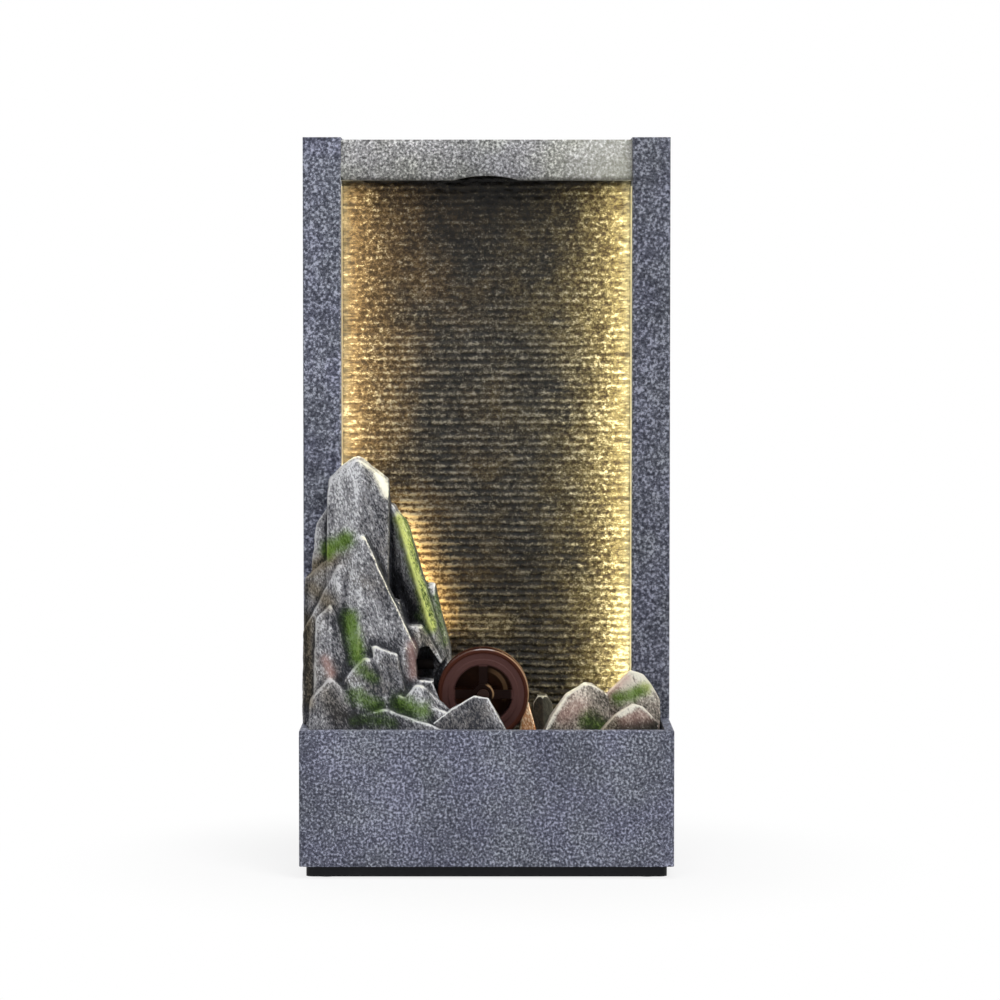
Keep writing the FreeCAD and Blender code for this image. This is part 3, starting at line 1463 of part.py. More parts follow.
def make_loose_stones():
    gap = float(slack)
    feature_of("front_stone", stone_at("front_stone", *front_stone_place, front_stone_facets))
    small_front = inner_front + slack
    small_spans = (cell("small_stone_width"), cell("small_stone_depth"))
    small = ("small_stone", small_stone_left, small_front, *small_spans, small_stone_facets)
    low_front = inner_front + cell("low_stone_back") - cell("small_stone_depth") / 2
    low_spans = (low_stone_width, cell("low_stone_depth"))
    low = ("low_stone", low_stone_left, low_front, *low_spans, low_stone_facets)
    tall_front = frame_front - slack - cell("tall_stone_depth")
    tall_spans = (cell("tall_stone_width"), cell("tall_stone_depth"))
    tall = ("tall_stone", tall_stone_left, tall_front, *tall_spans, tall_stone_facets)
    feature_of("small_stone", stone_at(*small))
    feature_of("low_stone", stone_at(*low).cut(stone_at(*small, grow=gap)))
    rest = stone_at(*tall).cut(stone_at(*low, grow=gap)).cut(stone_at(*small, grow=gap))
    feature_of("tall_stone", rest)
    post_back = wheel_y + post_near + cell("post_thickness") + slack
    lit_left = wheel_x + cell("wheel_radius") - cell("lit_pebble_width") / 2
    lit_spans = (cell("lit_pebble_width"), cell("lit_pebble_width"))
    lit = ("lit_pebble", lit_left, wheel_y + post_near, *lit_spans, splayed_facets)
    feature_of("lit_pebble", stone_at(*lit))
    wet_left = wheel_x + cell("wheel_radius")
    wet_depth = wall_front - cell("deck_gap") - post_back
    wet = ("wet_pebble", wet_left, post_back, cell("wet_pebble_width"), wet_depth, pebble_facets)
    feature_of("wet_pebble", stone_at(*wet).cut(stone_at(*lit, grow=gap)))


# The whole fountain

make_plinth()
make_pads()
make_plinth_screws()
make_basin()
make_deck()
for side_name, side_sign in sides.items():
    make_pillar(side_name, side_sign)
    make_lights(side_name, side_sign)
    make_led_lead(side_name, side_sign)
make_lintel()
make_water_wall()
make_rear_cover()
make_rear_cover_screws()
make_top_cover()
make_trough()
make_trough_barb()
make_barb_nut()
make_riser_hose()
make_tee()
make_wheel_hose()
make_spout()
make_rock_light()
make_power_box()
make_dc_inlet()
make_inlet_nut()
make_pump_lead()
make_pump_body()
make_pump_volute()
make_pump_strainer()
make_flow_dial()
make_pump_shaft()
make_rotor_magnet()
make_impeller()
make_suction_cups()
make_shroud("front", -1)
make_shroud("rear", 1)
make_buckets()
make_axle()
make_post("front", -1)
make_post("rear", 1)
make_bushes()
make_rockery()
make_loose_stones()

doc.recompute()
for obj in doc.Objects:
    if "Invalid" in obj.State or "Error" in obj.State:
        raise RuntimeError(f"{obj.Label} failed: {obj.State}")
for obj in subparts:
    if obj.Shape.isNull() or not obj.Shape.isValid() or not obj.Shape.Solids:
        raise RuntimeError(f"{obj.Label} has no valid solid")

os.makedirs("parts", exist_ok=True)
for obj in subparts:
    obj.Shape.exportStep(os.path.join("parts", f"{obj.Label}.step"))
print(f"{len(subparts)} sub-parts written")
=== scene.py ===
import math

import bpy
import numpy as np
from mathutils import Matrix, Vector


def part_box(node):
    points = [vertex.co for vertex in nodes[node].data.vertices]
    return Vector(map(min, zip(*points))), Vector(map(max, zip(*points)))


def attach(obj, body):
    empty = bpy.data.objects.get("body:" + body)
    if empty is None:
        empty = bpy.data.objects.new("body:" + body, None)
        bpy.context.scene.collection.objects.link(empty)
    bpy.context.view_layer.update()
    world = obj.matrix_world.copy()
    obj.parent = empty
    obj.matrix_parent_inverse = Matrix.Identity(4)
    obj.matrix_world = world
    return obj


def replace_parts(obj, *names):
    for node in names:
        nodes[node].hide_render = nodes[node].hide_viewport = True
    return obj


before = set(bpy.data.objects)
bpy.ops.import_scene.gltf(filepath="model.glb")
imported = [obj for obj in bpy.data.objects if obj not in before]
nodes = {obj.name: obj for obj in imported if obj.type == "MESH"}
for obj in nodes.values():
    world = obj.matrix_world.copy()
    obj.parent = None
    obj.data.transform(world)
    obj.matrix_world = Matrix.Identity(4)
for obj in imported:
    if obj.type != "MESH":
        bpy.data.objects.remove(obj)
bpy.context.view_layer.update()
scene = bpy.context.scene
scene.view_settings.view_transform = "Standard"
print("frame loaded:", len(nodes), "nodes")

# camera: square to the front, far away with a long lens, looking slightly down
cameraPlace = {"at": (0.0, -3.06, 0.438), "lens": 144.2, "down": 2.983, "shiftX": 0.0134}
cameraData = bpy.data.cameras.new("photoCamera")
cameraData.lens = cameraPlace["lens"]
cameraData.shift_x = cameraPlace["shiftX"]
camera = bpy.data.objects.new("photoCamera", cameraData)
camera.location = cameraPlace["at"]
camera.rotation_euler = (math.radians(90 - cameraPlace["down"]), 0, 0)
scene.collection.objects.link(camera)
scene.camera = camera


def linear(red, green, blue):
    # colour as it is read off a screen, 0 to 255, to the linear value a shader takes
    seen = np.array([red, green, blue]) / 255
    light = np.where(seen <= 0.04045, seen / 12.92, ((seen + 0.055) / 1.055) ** 2.4)
    return (*light.tolist(), 1.0)


def asLinear(value):
    # three numbers are a screen colour; anything else is passed on as it is
    return linear(*value) if isinstance(value, tuple) and len(value) == 3 else value


def addNode(tree, kind, inputs=None, **settings):
    made = tree.nodes.new("ShaderNode" + kind)
    for key, value in settings.items():
        setattr(made, key, value)
    for key, value in (inputs or {}).items():
        if isinstance(value, bpy.types.NodeSocket):
            tree.links.new(value, made.inputs[key])
        else:
            made.inputs[key].default_value = value
    return made


def treeOf(*values):
    # the tree of the first socket among the values
    return next(value.id_data for value in values if isinstance(value, bpy.types.NodeSocket))


def sums(operation, first, second=0.0):
    return addNode(treeOf(first, second), "Math", {0: first, 1: second}, operation=operation).outputs[0]


def times(first, second):
    return sums("MULTIPLY", first, second)


def minus(first, second):
    return sums("SUBTRACT", first, second)


def plus(first, second, share):
    # the first plus a share of the second
    return sums("ADD", first, times(second, share))


def sway(first, noise, share):
    # the first plus a share of the noise's distance from its middle
    return plus(first, minus(noise, 0.5), share)


def vectorSums(operation, first, second=(0.0, 0.0, 0.0)):
    return addNode(treeOf(first), "VectorMath", {0: first, 1: second}, operation=operation).outputs


def splitPlace(vector):
    return addNode(treeOf(vector), "SeparateXYZ", {0: vector}).outputs


def markOf(tree, name):
    return addNode(tree, "Attribute", attribute_name=name).outputs["Fac"]


def blend(factor, first, second, how="MIX"):
    # inputs 6 and 7 and output 2 are the mix node's colours
    return addNode(
        treeOf(factor, first, second), "Mix", {0: factor, 6: asLinear(first), 7: asLinear(second)},
        data_type="RGBA", blend_type=how, clamp_result=True).outputs[2]


def ramp(value, low, high):
    # 0 below low, 1 above high, eased between; turned round where low is above high
    return addNode(
        treeOf(value), "MapRange", {"Value": value, "From Min": low, "From Max": high},
        interpolation_type="SMOOTHSTEP").outputs[0]


def zoned(colour, tone, *bounds, how="MIX"):
    # lays the tone where every value is past its limits; a bound has the value and its two limits
    mask = ramp(*bounds[0])
    for bound in bounds[1:]:
        mask = times(mask, ramp(*bound))
    return blend(mask, colour, tone, how)


def noiseOf(vector, scale, detail=2.0, roughness=0.5, distortion=0.0):
    return addNode(treeOf(vector), "TexNoise", {
        "Vector": vector, "Scale": scale, "Detail": detail, "Roughness": roughness,
        "Distortion": distortion}).outputs[0]


def newGroup(name, values, colours, results):
    # every group takes a place, plain values and colours, and gives a colour and plain results
    tree = bpy.data.node_groups.new(name, "ShaderNodeTree")
    taken = {"Vector": "NodeSocketVector"}
    taken.update(dict.fromkeys(values, "NodeSocketFloat"))
    taken.update(dict.fromkeys(colours, "NodeSocketColor"))
    made = {"Colour": "NodeSocketColor", **dict.fromkeys(results, "NodeSocketFloat")}
    for way, sockets in (("INPUT", taken), ("OUTPUT", made)):
        for label, kind in sockets.items():
            tree.interface.new_socket(name=label, in_out=way, socket_type=kind)
    given = tree.nodes.new("NodeGroupInput").outputs
    return tree, given["Vector"], given, tree.nodes.new("NodeGroupOutput").inputs


def placeGroup(tree, name, inputs):
    inputs = {key: asLinear(value) for key, value in inputs.items()}
    return addNode(tree, "Group", inputs, node_tree=bpy.data.node_groups[name]).outputs


def newMaterial(name, **sockets):
    material = bpy.data.materials.new(name)
    material.use_nodes = True
    tree = material.node_tree
    shader = tree.nodes["Principled BSDF"].inputs
    for key, value in sockets.items():
        shader[key].default_value = value
    place = addNode(tree, "TexCoord").outputs["Object"]
    return material, tree, shader, place


def addBump(tree, shader, height, distance, strength):
    bump = addNode(tree, "Bump", {"Height": height, "Distance": distance, "Strength": strength})
    tree.links.new(bump.outputs[0], shader["Normal"])


def linkLook(tree, shader, colour, made, bump):
    # the colour, and the group's roughness and height, to the shader
    tree.links.new(colour, shader["Base Color"])
    tree.links.new(made["Roughness"], shader["Roughness"])
    addBump(tree, shader, made["Height"], *bump)


# granite grains: every cell of a fine mosaic takes a random tone, softened by noise of the same size;
# broad patches drift lighter, darker, bluer and greener
speckle = {
    "cellShare": 0.07, "softShare": 0.93, "middleStep": (0.31, 0.52), "lightStep": (0.48, 0.7),
    "hueStep": (0.3, 0.7), "blue": (252, 251, 255), "green": (253, 254, 246), "bump": (0.0003, 0.6)}
tree, place, given, out = newGroup(
    "graniteGrain", ["Scale", "Patch"], ["Dark", "Middle", "Light"], ["Height"])
cells = addNode(tree, "TexVoronoi", {"Vector": place, "Scale": given["Scale"]})
cellTone = addNode(tree, "SeparateColor", {0: cells.outputs["Color"]}).outputs[0]
soft = noiseOf(place, given["Scale"], 2.0, 0.6)
tone = times(cellTone, speckle["cellShare"])
tone = plus(tone, soft, speckle["softShare"])
patch = noiseOf(place, 18.0, 3.0)
tone = sway(tone, patch, given["Patch"])
grains = zoned(given["Dark"], given["Middle"], (tone, *speckle["middleStep"]))
grains = zoned(grains, given["Light"], (tone, *speckle["lightStep"]))
hueTone = noiseOf(place, 30.0, 2.0)
hue = zoned(speckle["blue"], speckle["green"], (hueTone, *speckle["hueStep"]))
grains = blend(1.0, grains, hue, "MULTIPLY")
tree.links.new(grains, out["Colour"])
tree.links.new(tone, out["Height"])

# moulded skin: fine sparkle of a mould's etched face, with faint rubbed patches
etching = {"etchShare": 0.3, "rubStep": (0.45, 0.75), "depth": 0.0002, "strength": 0.35}
tree, place, given, out = newGroup(
    "mouldedSkin", ["Roughness", "Scale"], ["Colour", "Rubbed"], ["Roughness", "Height"])
etch = noiseOf(place, given["Scale"], 2.0, 0.6)
rubAndSheen = ramp(noiseOf(place, 55.0, 4.0, 0.6), *etching["rubStep"])
tree.links.new(blend(rubAndSheen, given["Colour"], given["Rubbed"]), out["Colour"])
tree.links.new(sway(given["Roughness"], etch, etching["etchShare"]), out["Roughness"])
tree.links.new(etch, out["Height"])

# painted rock: dark wash, body grey, dry-brushed pale strokes that gather on ridges; the surface's own marks
# say where earth, blush and moss were airbrushed and where painted light, painted shade and painted
# highlights lie; moss under a painted highlight is lime
rock = {
    "slant": (0.0, -0.38, 0.0), "stretch": (1.0, 1.0, 2.3), "bump": (0.0006, 0.7),
    "base": 0.09, "stroke": 0.82, "broad": 0.4, "ridge": 0.17, "earth": 0.85, "blush": 0.6, "tuft": 0.4,
    "spread": 0.8, "fringe": 0.35, "moss": 0.93, "rough": 0.74, "mossRough": 0.2,
    "tintStep": (0.46, 0.7), "deepStep": (0.36, 0.12), "bodyStep": (0.36, 0.52), "paleStep": (0.53, 0.67),
    "earthStep": (0.36, 0.64), "shineStep": (0.85, 1.4), "greenStep": (0.3, 0.66), "limeStep": (0.3, 0.6),
    "mossStep": (0.1, 1.0),
    "deepTone": (104, 106, 98), "earthTones": ((38, 34, 22), (126, 112, 84)), "blushTone": (206, 160, 150),
    "shineTone": (246, 243, 228), "greens": ((28, 46, 12), (104, 138, 46)), "limeTone": (214, 220, 122),
}
rockMarks = ["Ridge", "Moss", "Glow", "Earth", "Blush"]
tree, place, given, out = newGroup(
    "paintedRock", [*rockMarks, "Strokes"], ["Wash", "Body", "Brush", "Tint"], ["Roughness", "Height"])
slanted = addNode(
    tree, "Mapping", {"Vector": place, "Rotation": rock["slant"], "Scale": rock["stretch"]},
    vector_type="TEXTURE").outputs[0]
stroke = noiseOf(slanted, 880.0, 3.0, 0.65, 0.4)
broad = noiseOf(slanted, 110.0, 3.0, 0.6)
tinting = ramp(noiseOf(place, 34.0, 3.0, 0.55), *rock["tintStep"])
body = blend(tinting, given["Body"], given["Tint"])
tone = plus(rock["base"], stroke, rock["stroke"])
tone = sway(tone, broad, rock["broad"])
tone = plus(tone, given["Ridge"], rock["ridge"])
# painted shade: where the tone is lowest the wash is darkened further
shadedWash = zoned(given["Wash"], rock["deepTone"], (tone, *rock["deepStep"]), how="MULTIPLY")
paint = zoned(shadedWash, body, (tone, *rock["bodyStep"]))
paleMask = times(ramp(tone, *rock["paleStep"]), given["Strokes"])
paint = blend(paleMask, paint, given["Brush"])
earthTone = blend(ramp(tone, *rock["earthStep"]), *rock["earthTones"])
paint = blend(times(given["Earth"], rock["earth"]), paint, earthTone)
paint = blend(times(given["Blush"], rock["blush"]), paint, rock["blushTone"])
# painted highlight: where the glow mark is high the paint turns to a pale shine
litTone = ramp(sums("ADD", tone, given["Glow"]), *rock["shineStep"])
paint = blend(times(given["Glow"], litTone), paint, rock["shineTone"])
tuft = noiseOf(place, 900.0, 3.0, 0.7)
tuftTone = plus(times(tone, 1 - rock["tuft"]), tuft, rock["tuft"])
greens = blend(ramp(tuftTone, *rock["greenStep"]), *rock["greens"])
limeMask = times(given["Glow"], ramp(tone, *rock["limeStep"]))
greens = blend(limeMask, greens, rock["limeTone"])
spread = noiseOf(place, 120.0, 4.0, 0.65)
mossEdge = sway(given["Moss"], spread, rock["spread"])
mossEdge = sway(mossEdge, tuft, rock["fringe"])
mossMask = times(ramp(mossEdge, *rock["mossStep"]), rock["moss"])
tree.links.new(blend(mossMask, paint, greens), out["Colour"])
tree.links.new(plus(rock["rough"], mossMask, rock["mossRough"]), out["Roughness"])
tree.links.new(plus(stroke, mossMask, tuft), out["Height"])
print("shader groups:", [group.name for group in bpy.data.node_groups])


def graniteFinish(name, dark, middle, light, patch):
    material, tree, shader, place = newMaterial(name, Roughness=0.62, **{"Specular IOR Level": 0.3})
    made = placeGroup(tree, "graniteGrain", {
        "Vector": place, "Scale": 510.0, "Patch": patch, "Dark": dark, "Middle": middle, "Light": light})
    addBump(tree, shader, made["Height"], *speckle["bump"])
    return material, tree, shader, splitPlace(place), made["Colour"]


def skinFinish(name, colour, rubbedAndSheen, roughness, metal=0.0, gloss=0.5, scale=900.0, bump=etching["strength"]):
    material, tree, shader, place = newMaterial(name, Metallic=metal, **{"Specular IOR Level": gloss})
    made = placeGroup(tree, "mouldedSkin", {
        "Vector": place, "Colour": colour, "Rubbed": rubbedAndSheen, "Roughness": roughness, "Scale": scale})
    linkLook(tree, shader, made["Colour"], made, (etching["depth"], bump))
    return material


def rockFinish(name, wash, body, brush, tint, strokes):
    material, tree, shader, place = newMaterial(name, **{"Specular IOR Level": 0.2})
    marks = {key: markOf(tree, key.lower()) for key in rockMarks}
    made = placeGroup(tree, "paintedRock", {
        "Vector": place, **marks, "Wash": wash, "Body": body, "Brush": brush, "Tint": tint,
        "Strokes": strokes})
    linkLook(tree, shader, made["Colour"], made, rock["bump"])
    return material


def paintNodes(material, *names):
    for name in names:
        for slot in nodes[name].material_slots:
            slot.material = material


# frame: painted shade makes the right-hand pillar a little dimmer above the basin's rim
frameLook = {
    "granite": ((44, 46, 60), (92, 95, 111), (182, 186, 206), 0.16),
    "across": (0.104, 0.112), "up": (0.108, 0.116), "dim": (228, 228, 226)}
frameGranite, tree, shader, apart, stone = graniteFinish("frameGranite", *frameLook["granite"])
rightPillarShade = [(apart[0], *frameLook["across"]), (apart[2], *frameLook["up"])]
stone = zoned(stone, frameLook["dim"], *rightPillarShade, how="MULTIPLY")
tree.links.new(stone, shader["Base Color"])
# lintel: painted light makes its granite paler than the frame's, palest at its top and right; painted shade
# dims its middle and foot, and painted shadow makes it dark underneath
lintelLook = {
    "granite": ((80, 80, 80), (150, 150, 149), (240, 240, 238), 0.14), "top": 0.5535,
    "fall": ((0.0, 0.030), (214, 214, 215)), "middle": ((0.055, 0.0), (226, 227, 231)),
    "right": ((0.03, 0.10), (130, 130, 116)), "foot": ((0.0265, 0.031), (150, 149, 146)),
    "under": ((-0.2, -0.6), (30, 29, 28))}
lintelGranite, tree, shader, apart, stone = graniteFinish("lintelGranite", *lintelLook["granite"])
upward = splitPlace(addNode(tree, "NewGeometry").outputs["Normal"])[2]
below = minus(lintelLook["top"], apart[2])
# these lay the lintel's painted light and painted shade
lintelPaintedLight = [
    ("fall", below, "MULTIPLY"), ("middle", sums("ABSOLUTE", apart[0]), "MULTIPLY"),
    ("right", apart[0], "SCREEN"), ("foot", below, "MULTIPLY"), ("under", upward, "MIX")]
for zone, value, how in lintelPaintedLight:
    limits, tone = lintelLook[zone]
    stone = zoned(stone, tone, (value, *limits), how=how)
tree.links.new(stone, shader["Base Color"])
paintNodes(frameGranite, "basin", "left_pillar", "right_pillar")
paintNodes(lintelGranite, "lintel")

# skins: colour, rubbed colour, roughness, what else differs, and the nodes that wear it
skins = {
    "blackSkin": ((22, 23, 26), (32, 33, 36), 0.55, {"gloss": 0.15}, [
        "plinth", "spill_trough", "trough_barb", "barb_nut", "tee_fitting", "power_box", "dc_inlet",
        "inlet_nut"]),
    "wheelSkin": ((40, 24, 18), (58, 36, 28), 0.45, {"scale": 500.0, "gloss": 0.15}, [
        "front_post", "rear_post"]),
    "coverSkin": ((30, 31, 34), (44, 45, 48), 0.5, {"scale": 420.0, "gloss": 0.3, "bump": 1.0}, [
        "rear_cover", "top_cover"]),
    "deckSkin": ((24, 25, 26), (42, 42, 41), 0.3, {"scale": 260.0, "bump": 0.8}, ["deck"]),
    # spoutSkin is near black as painted shade, so the spout reads as the dark of its cave
    "spoutSkin": ((14, 11, 10), (26, 19, 15), 0.8, {"gloss": 0.05}, ["spout"]),
    "pumpSkin": ((52, 58, 64), (70, 76, 82), 0.5, {}, [
        "pump_body", "pump_volute", "pump_strainer", "flow_dial", "impeller"]),
    "hoseSkin": ((206, 212, 208), (188, 196, 192), 0.3, {}, ["riser_hose", "wheel_hose"]),
    "tapeSkin": ((226, 226, 220), (206, 204, 196), 0.5, {}, [
        "left_led_tape", "right_led_tape", "rock_led_tape"]),
    "chipSkin": ((240, 214, 110), (226, 190, 84), 0.4, {}, ["left_led_chips", "right_led_chips"]),
    "rubberSkin": ((36, 36, 36), (56, 55, 53), 0.8, {}, ["anti_slip_pads", "suction_cups"]),
    "wireSkin": ((34, 34, 36), (48, 48, 50), 0.6, {}, [
        "pump_lead", "left_led_lead", "right_led_lead", "rock_led_lead"]),
    "steelSkin": ((196, 196, 196), (170, 170, 172), 0.3, {"metal": 1.0}, [
        "plinth_screws", "wheel_axle", "pump_shaft"]),
    "brassSkin": ((204, 166, 92), (168, 128, 66), 0.3, {"metal": 1.0}, ["wheel_bushes"]),
    "ferriteSkin": ((64, 64, 68), (84, 84, 88), 0.6, {}, ["rotor_magnet"]),
}
skinOf = {}
for name, (colour, rubbedAndSheen, roughness, more, names) in skins.items():
    skinOf[name] = skinFinish(name, colour, rubbedAndSheen, roughness, **more)
    paintNodes(skinOf[name], *names)

# wheel: dark within, as painted shade on the front's spokes and hub and, less dark, painted light on the rear
# web; a purplish rim mottled with red-brown, and a red-brown band round it that is wet at its edge; a painted
# highlight lies pale on the upper right. Each part has its tone within and its highlight ring: from, to and
# share
wheel = {
    "axle": (-0.0026, -0.036, 0.134), "inPlane": (1.0, 0.0, 1.0), "upperRight": (0.9, 0.0, 0.44),
    "least": 0.001, "inner": (0.0205, 0.0222), "outer": (0.0302, 0.0318), "wet": (0.0334, 0.0342),
    "ease": 0.001, "rim": (88, 62, 60), "band": (74, 40, 30), "mottle": 0.5,
    "rubAndSheen": (206, 166, 124), "highlightSide": (0.55, 0.95), "wetHighlightSide": (0.5, 0.9), "wetHighlight": 0.5, "worn": 1.35,
    "parts": {
        "wheelFront": ((24, 12, 9), (0.0066, 0.0076, 0.8), ["wheel_front_shroud", "wheel_buckets"]),
        "wheelRear": ((64, 38, 24), (0.0150, 0.0182, 0.75), ["wheel_rear_shroud"])},
}


def wheelFinish(name, within, ringFrom, ringTo, ringShare):
    material, tree, shader, place = newMaterial(name, **{"Specular IOR Level": 0.05, "Coat Roughness": 0.16})
    middle = vectorSums("SUBTRACT", place, wheel["axle"])[0]
    spoke = vectorSums("MULTIPLY", middle, wheel["inPlane"])[0]
    away = vectorSums("LENGTH", spoke)["Value"]
    aside = vectorSums("DOT_PRODUCT", spoke, wheel["upperRight"])["Value"]
    side = sums("DIVIDE", aside, sums("MAXIMUM", away, wheel["least"]))
    skin = placeGroup(tree, "mouldedSkin", {
        "Vector": place, "Colour": within, "Rubbed": tuple(wheel["worn"] * np.array(within)),
        "Roughness": 0.42, "Scale": 500.0})
    mottle = times(noiseOf(place, 160.0, 4.0, 0.6), wheel["mottle"])
    rim = blend(mottle, wheel["rim"], wheel["band"])
    tone = zoned(skin["Colour"], rim, (away, *wheel["inner"]))
    tone = zoned(tone, wheel["band"], (away, *wheel["outer"]))
    # painted highlight: a pale ring on the upper right, and pale on the wet band's upper right
    ring = times(
        ramp(away, ringFrom, ringFrom + wheel["ease"]), ramp(away, ringTo + wheel["ease"], ringTo))
    rubbedAndSheen = times(times(ring, ramp(side, *wheel["highlightSide"])), ringShare)
    wet = ramp(away, *wheel["wet"])
    wetHighlight = times(times(wet, ramp(side, *wheel["wetHighlightSide"])), wheel["wetHighlight"])
    rubbedAndSheen = sums("MAXIMUM", rubbedAndSheen, wetHighlight)
    tone = blend(rubbedAndSheen, tone, wheel["rubAndSheen"])
    linkLook(tree, shader, tone, skin, (etching["depth"], etching["strength"]))
    tree.links.new(wet, shader["Coat Weight"])
    return material


for name, (within, highlightRing, names) in wheel["parts"].items():
    paintNodes(wheelFinish(name, within, *highlightRing), *names)

# light strips: milky lens that glows, a little unevenly from chip to chip, and looks cream where it is seen;
# a wave texture of scale one has about 3.18 waves in a metre. Each strip: node, glow, cream and strength
lens = {"pitch": 0.0165, "waves": 3.18, "shell": (58, 53, 42), "chip": (255, 247, 226), "chipShare": 0.35}
strips = {
    "leftLight": ("left_led_lens", (255, 240, 194), (182, 164, 124), 27.0),
    "rightLight": ("right_led_lens", (255, 249, 210), (208, 198, 152), 36.5),
    "rockLight": ("rock_led_lens", (255, 214, 138), (232, 212, 160), 21.0),
}
for name, (node, glow, cream, strength) in strips.items():
    material, tree, shader, place = newMaterial(
        name, Roughness=0.5, **{"Base Color": linear(*lens["shell"]), "Emission Strength": strength})
    chipWave = addNode(
        tree, "TexWave", {"Vector": place, "Scale": 1 / lens["pitch"] / lens["waves"]},
        bands_direction="Z").outputs[1]
    warm = blend(times(chipWave, lens["chipShare"]), glow, lens["chip"])
    met = addNode(tree, "LightPath").outputs["Is Camera Ray"]
    seen = tuple(share / strength for share in linear(*cream))
    tree.links.new(blend(met, warm, seen), shader["Emission Color"])
    paintNodes(material, node)
print("finishes on CAD nodes:", len(bpy.data.materials))


def newPiece(name, points, faces):
    mesh = bpy.data.meshes.new(name)
    mesh.from_pydata(points, [], faces)
    return settle(name, mesh)


def settle(name, mesh):
    mesh.polygons.foreach_set("use_smooth", np.ones(len(mesh.polygons), dtype=bool))
    mesh.update()
    piece = bpy.data.objects.new(name, mesh)
    scene.collection.objects.link(piece)
    return piece


def tubeFaces(levels, around):
    # quads between neighbouring closed loops, and one face over each end
    level, step = np.meshgrid(np.arange(levels - 1), np.arange(around), indexing="ij")
    after = (step + 1) % around
    start = level * around
    quads = np.stack([start + step, start + after, start + around + after, start + around + step], -1)
    ends = [list(range(around))[::-1], list(range((levels - 1) * around, levels * around))]
    return quads.reshape(-1, 4).tolist() + ends


def joinSurfaces(surfaces):
    joined, faces, start = [], [], 0
    for points, group in surfaces:
        faces += [[index + start for index in face] for face in group]
        joined.append(points)
        start += len(points)
    return np.concatenate(joined), faces


noiseHash = {"primes": (73856093, 19349663, 83492791), "seed": 40503, "stir": 1274126177}


def smoothNoise(points, scale, seed):
    # a hashed value at each corner of a unit cell, blended with the cubic ease, from -1 to 1
    scaled = points * scale
    corner = np.floor(scaled).astype(np.int64)
    ease = scaled - corner
    ease = ease * ease * (3 - 2 * ease)
    total = np.zeros(len(points))
    for index in range(8):
        offset = np.array([index & 1, index >> 1 & 1, index >> 2 & 1])
        mixed = np.bitwise_xor.reduce((corner + offset) * noiseHash["primes"], axis=1)
        mixed = mixed ^ seed * noiseHash["seed"]
        mixed = (mixed ^ mixed >> 13) * noiseHash["stir"] & 0x7FFFFFFF
        value = (mixed ^ mixed >> 15) & 0xFFFF
        total += value / 32767.5 * np.prod(np.where(offset == 1, ease, 1 - ease), axis=1)
    return total - 1


def layeredNoise(points, layers):
    # a layer has its weight, scale and seed
    return sum(weight * smoothNoise(points, scale, seed) for weight, scale, seed in layers)


def readVertices(mesh, key):
    values = np.empty(len(mesh.vertices) * 3)
    mesh.vertices.foreach_get(key, values)
    return values.reshape(-1, 3)


def keepMark(mesh, name, values):
    mark = mesh.attributes.get(name) or mesh.attributes.new(name, "FLOAT", "POINT")
    mark.data.foreach_set("value", values.astype(np.float32))


def readMark(mesh, name):
    values = np.empty(len(mesh.vertices), dtype=np.float32)
    mesh.attributes[name].data.foreach_get("value", values)
    return values


def brushed(points, strokes):
    # each stroke runs from one place on the front view to another, in mm, and fades across its half width
    x, z = points[:, 0] * 1000, points[:, 2] * 1000
    total = np.zeros(len(points))
    for x0, z0, x1, z1, wide, weight in strokes:
        runX, runZ = x1 - x0, z1 - z0
        share = np.clip(((x - x0) * runX + (z - z0) * runZ) / max(runX * runX + runZ * runZ, 1.0), 0, 1)
        away = np.hypot(x - x0 - share * runX, z - z0 - share * runZ) / wide
        total = np.maximum(total, weight * np.exp(-away * away))
    return total


# cover screws: shank and domed head turned about each screw's axis; a cross is pressed into the head where a
# point lies close to either arm's line and within the arms' reach
screw = {
    "rows": 3, "rings": 26, "around": 72, "shank": 0.00125, "head": 0.003, "seat": 0.0020, "dome": 0.0008,
    "end": 0.0001, "top": 0.00005, "arm": 0.00048, "reach": 0.002, "sunk": 0.0009, "armSteep": 3,
    "endSteep": 5}
screwLow, screwHigh = (np.array(corner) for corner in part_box("rear_cover_screws"))
screwX = [screwLow[0] + screw["head"], screwHigh[0] - screw["head"]]
screwZ = np.linspace(screwLow[2] + screw["head"], screwHigh[2] - screw["head"], screw["rows"])
headRadius = np.linspace(screw["head"], screw["top"], screw["rings"])
headRise = screwHigh[1] - screw["dome"] * (headRadius / screw["head"]) ** 2
seatY = screwHigh[1] - screw["seat"]
shankRadius = [screw[key] for key in ("end", "shank", "shank", "head")]
radius = np.concatenate([shankRadius, headRadius])
height = np.concatenate([[screwLow[1], screwLow[1], seatY, seatY], headRise])
turn = np.linspace(0, 2 * np.pi, screw["around"], endpoint=False)
armX, armZ = radius[:, None] * np.sin(turn), radius[:, None] * np.cos(turn)
beside = np.minimum(abs(armX), abs(armZ)) / screw["arm"]
within = np.hypot(armX, armZ) / screw["reach"]
onDome = (np.arange(len(radius)) > len(shankRadius))[:, None]
pressed = np.clip(screw["armSteep"] * (1 - beside), 0, 1) * onDome
pressed = pressed * np.clip(screw["endSteep"] * (1 - within), 0, 1)
screwY = height[:, None] - screw["sunk"] * pressed
screws = []
for x in screwX:
    for z in screwZ:
        points = np.stack([x + armX, screwY, z + armZ], -1).reshape(-1, 3)
        screws.append((points, tubeFaces(len(radius), len(turn))))
screwPiece = newPiece("coverScrews", *joinSurfaces(screws))
screwPiece.data.materials.append(skinOf["steelSkin"])
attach(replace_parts(screwPiece, "rear_cover_screws"), "fountain")
print("cover screws:", len(screwPiece.data.polygons), "faces")

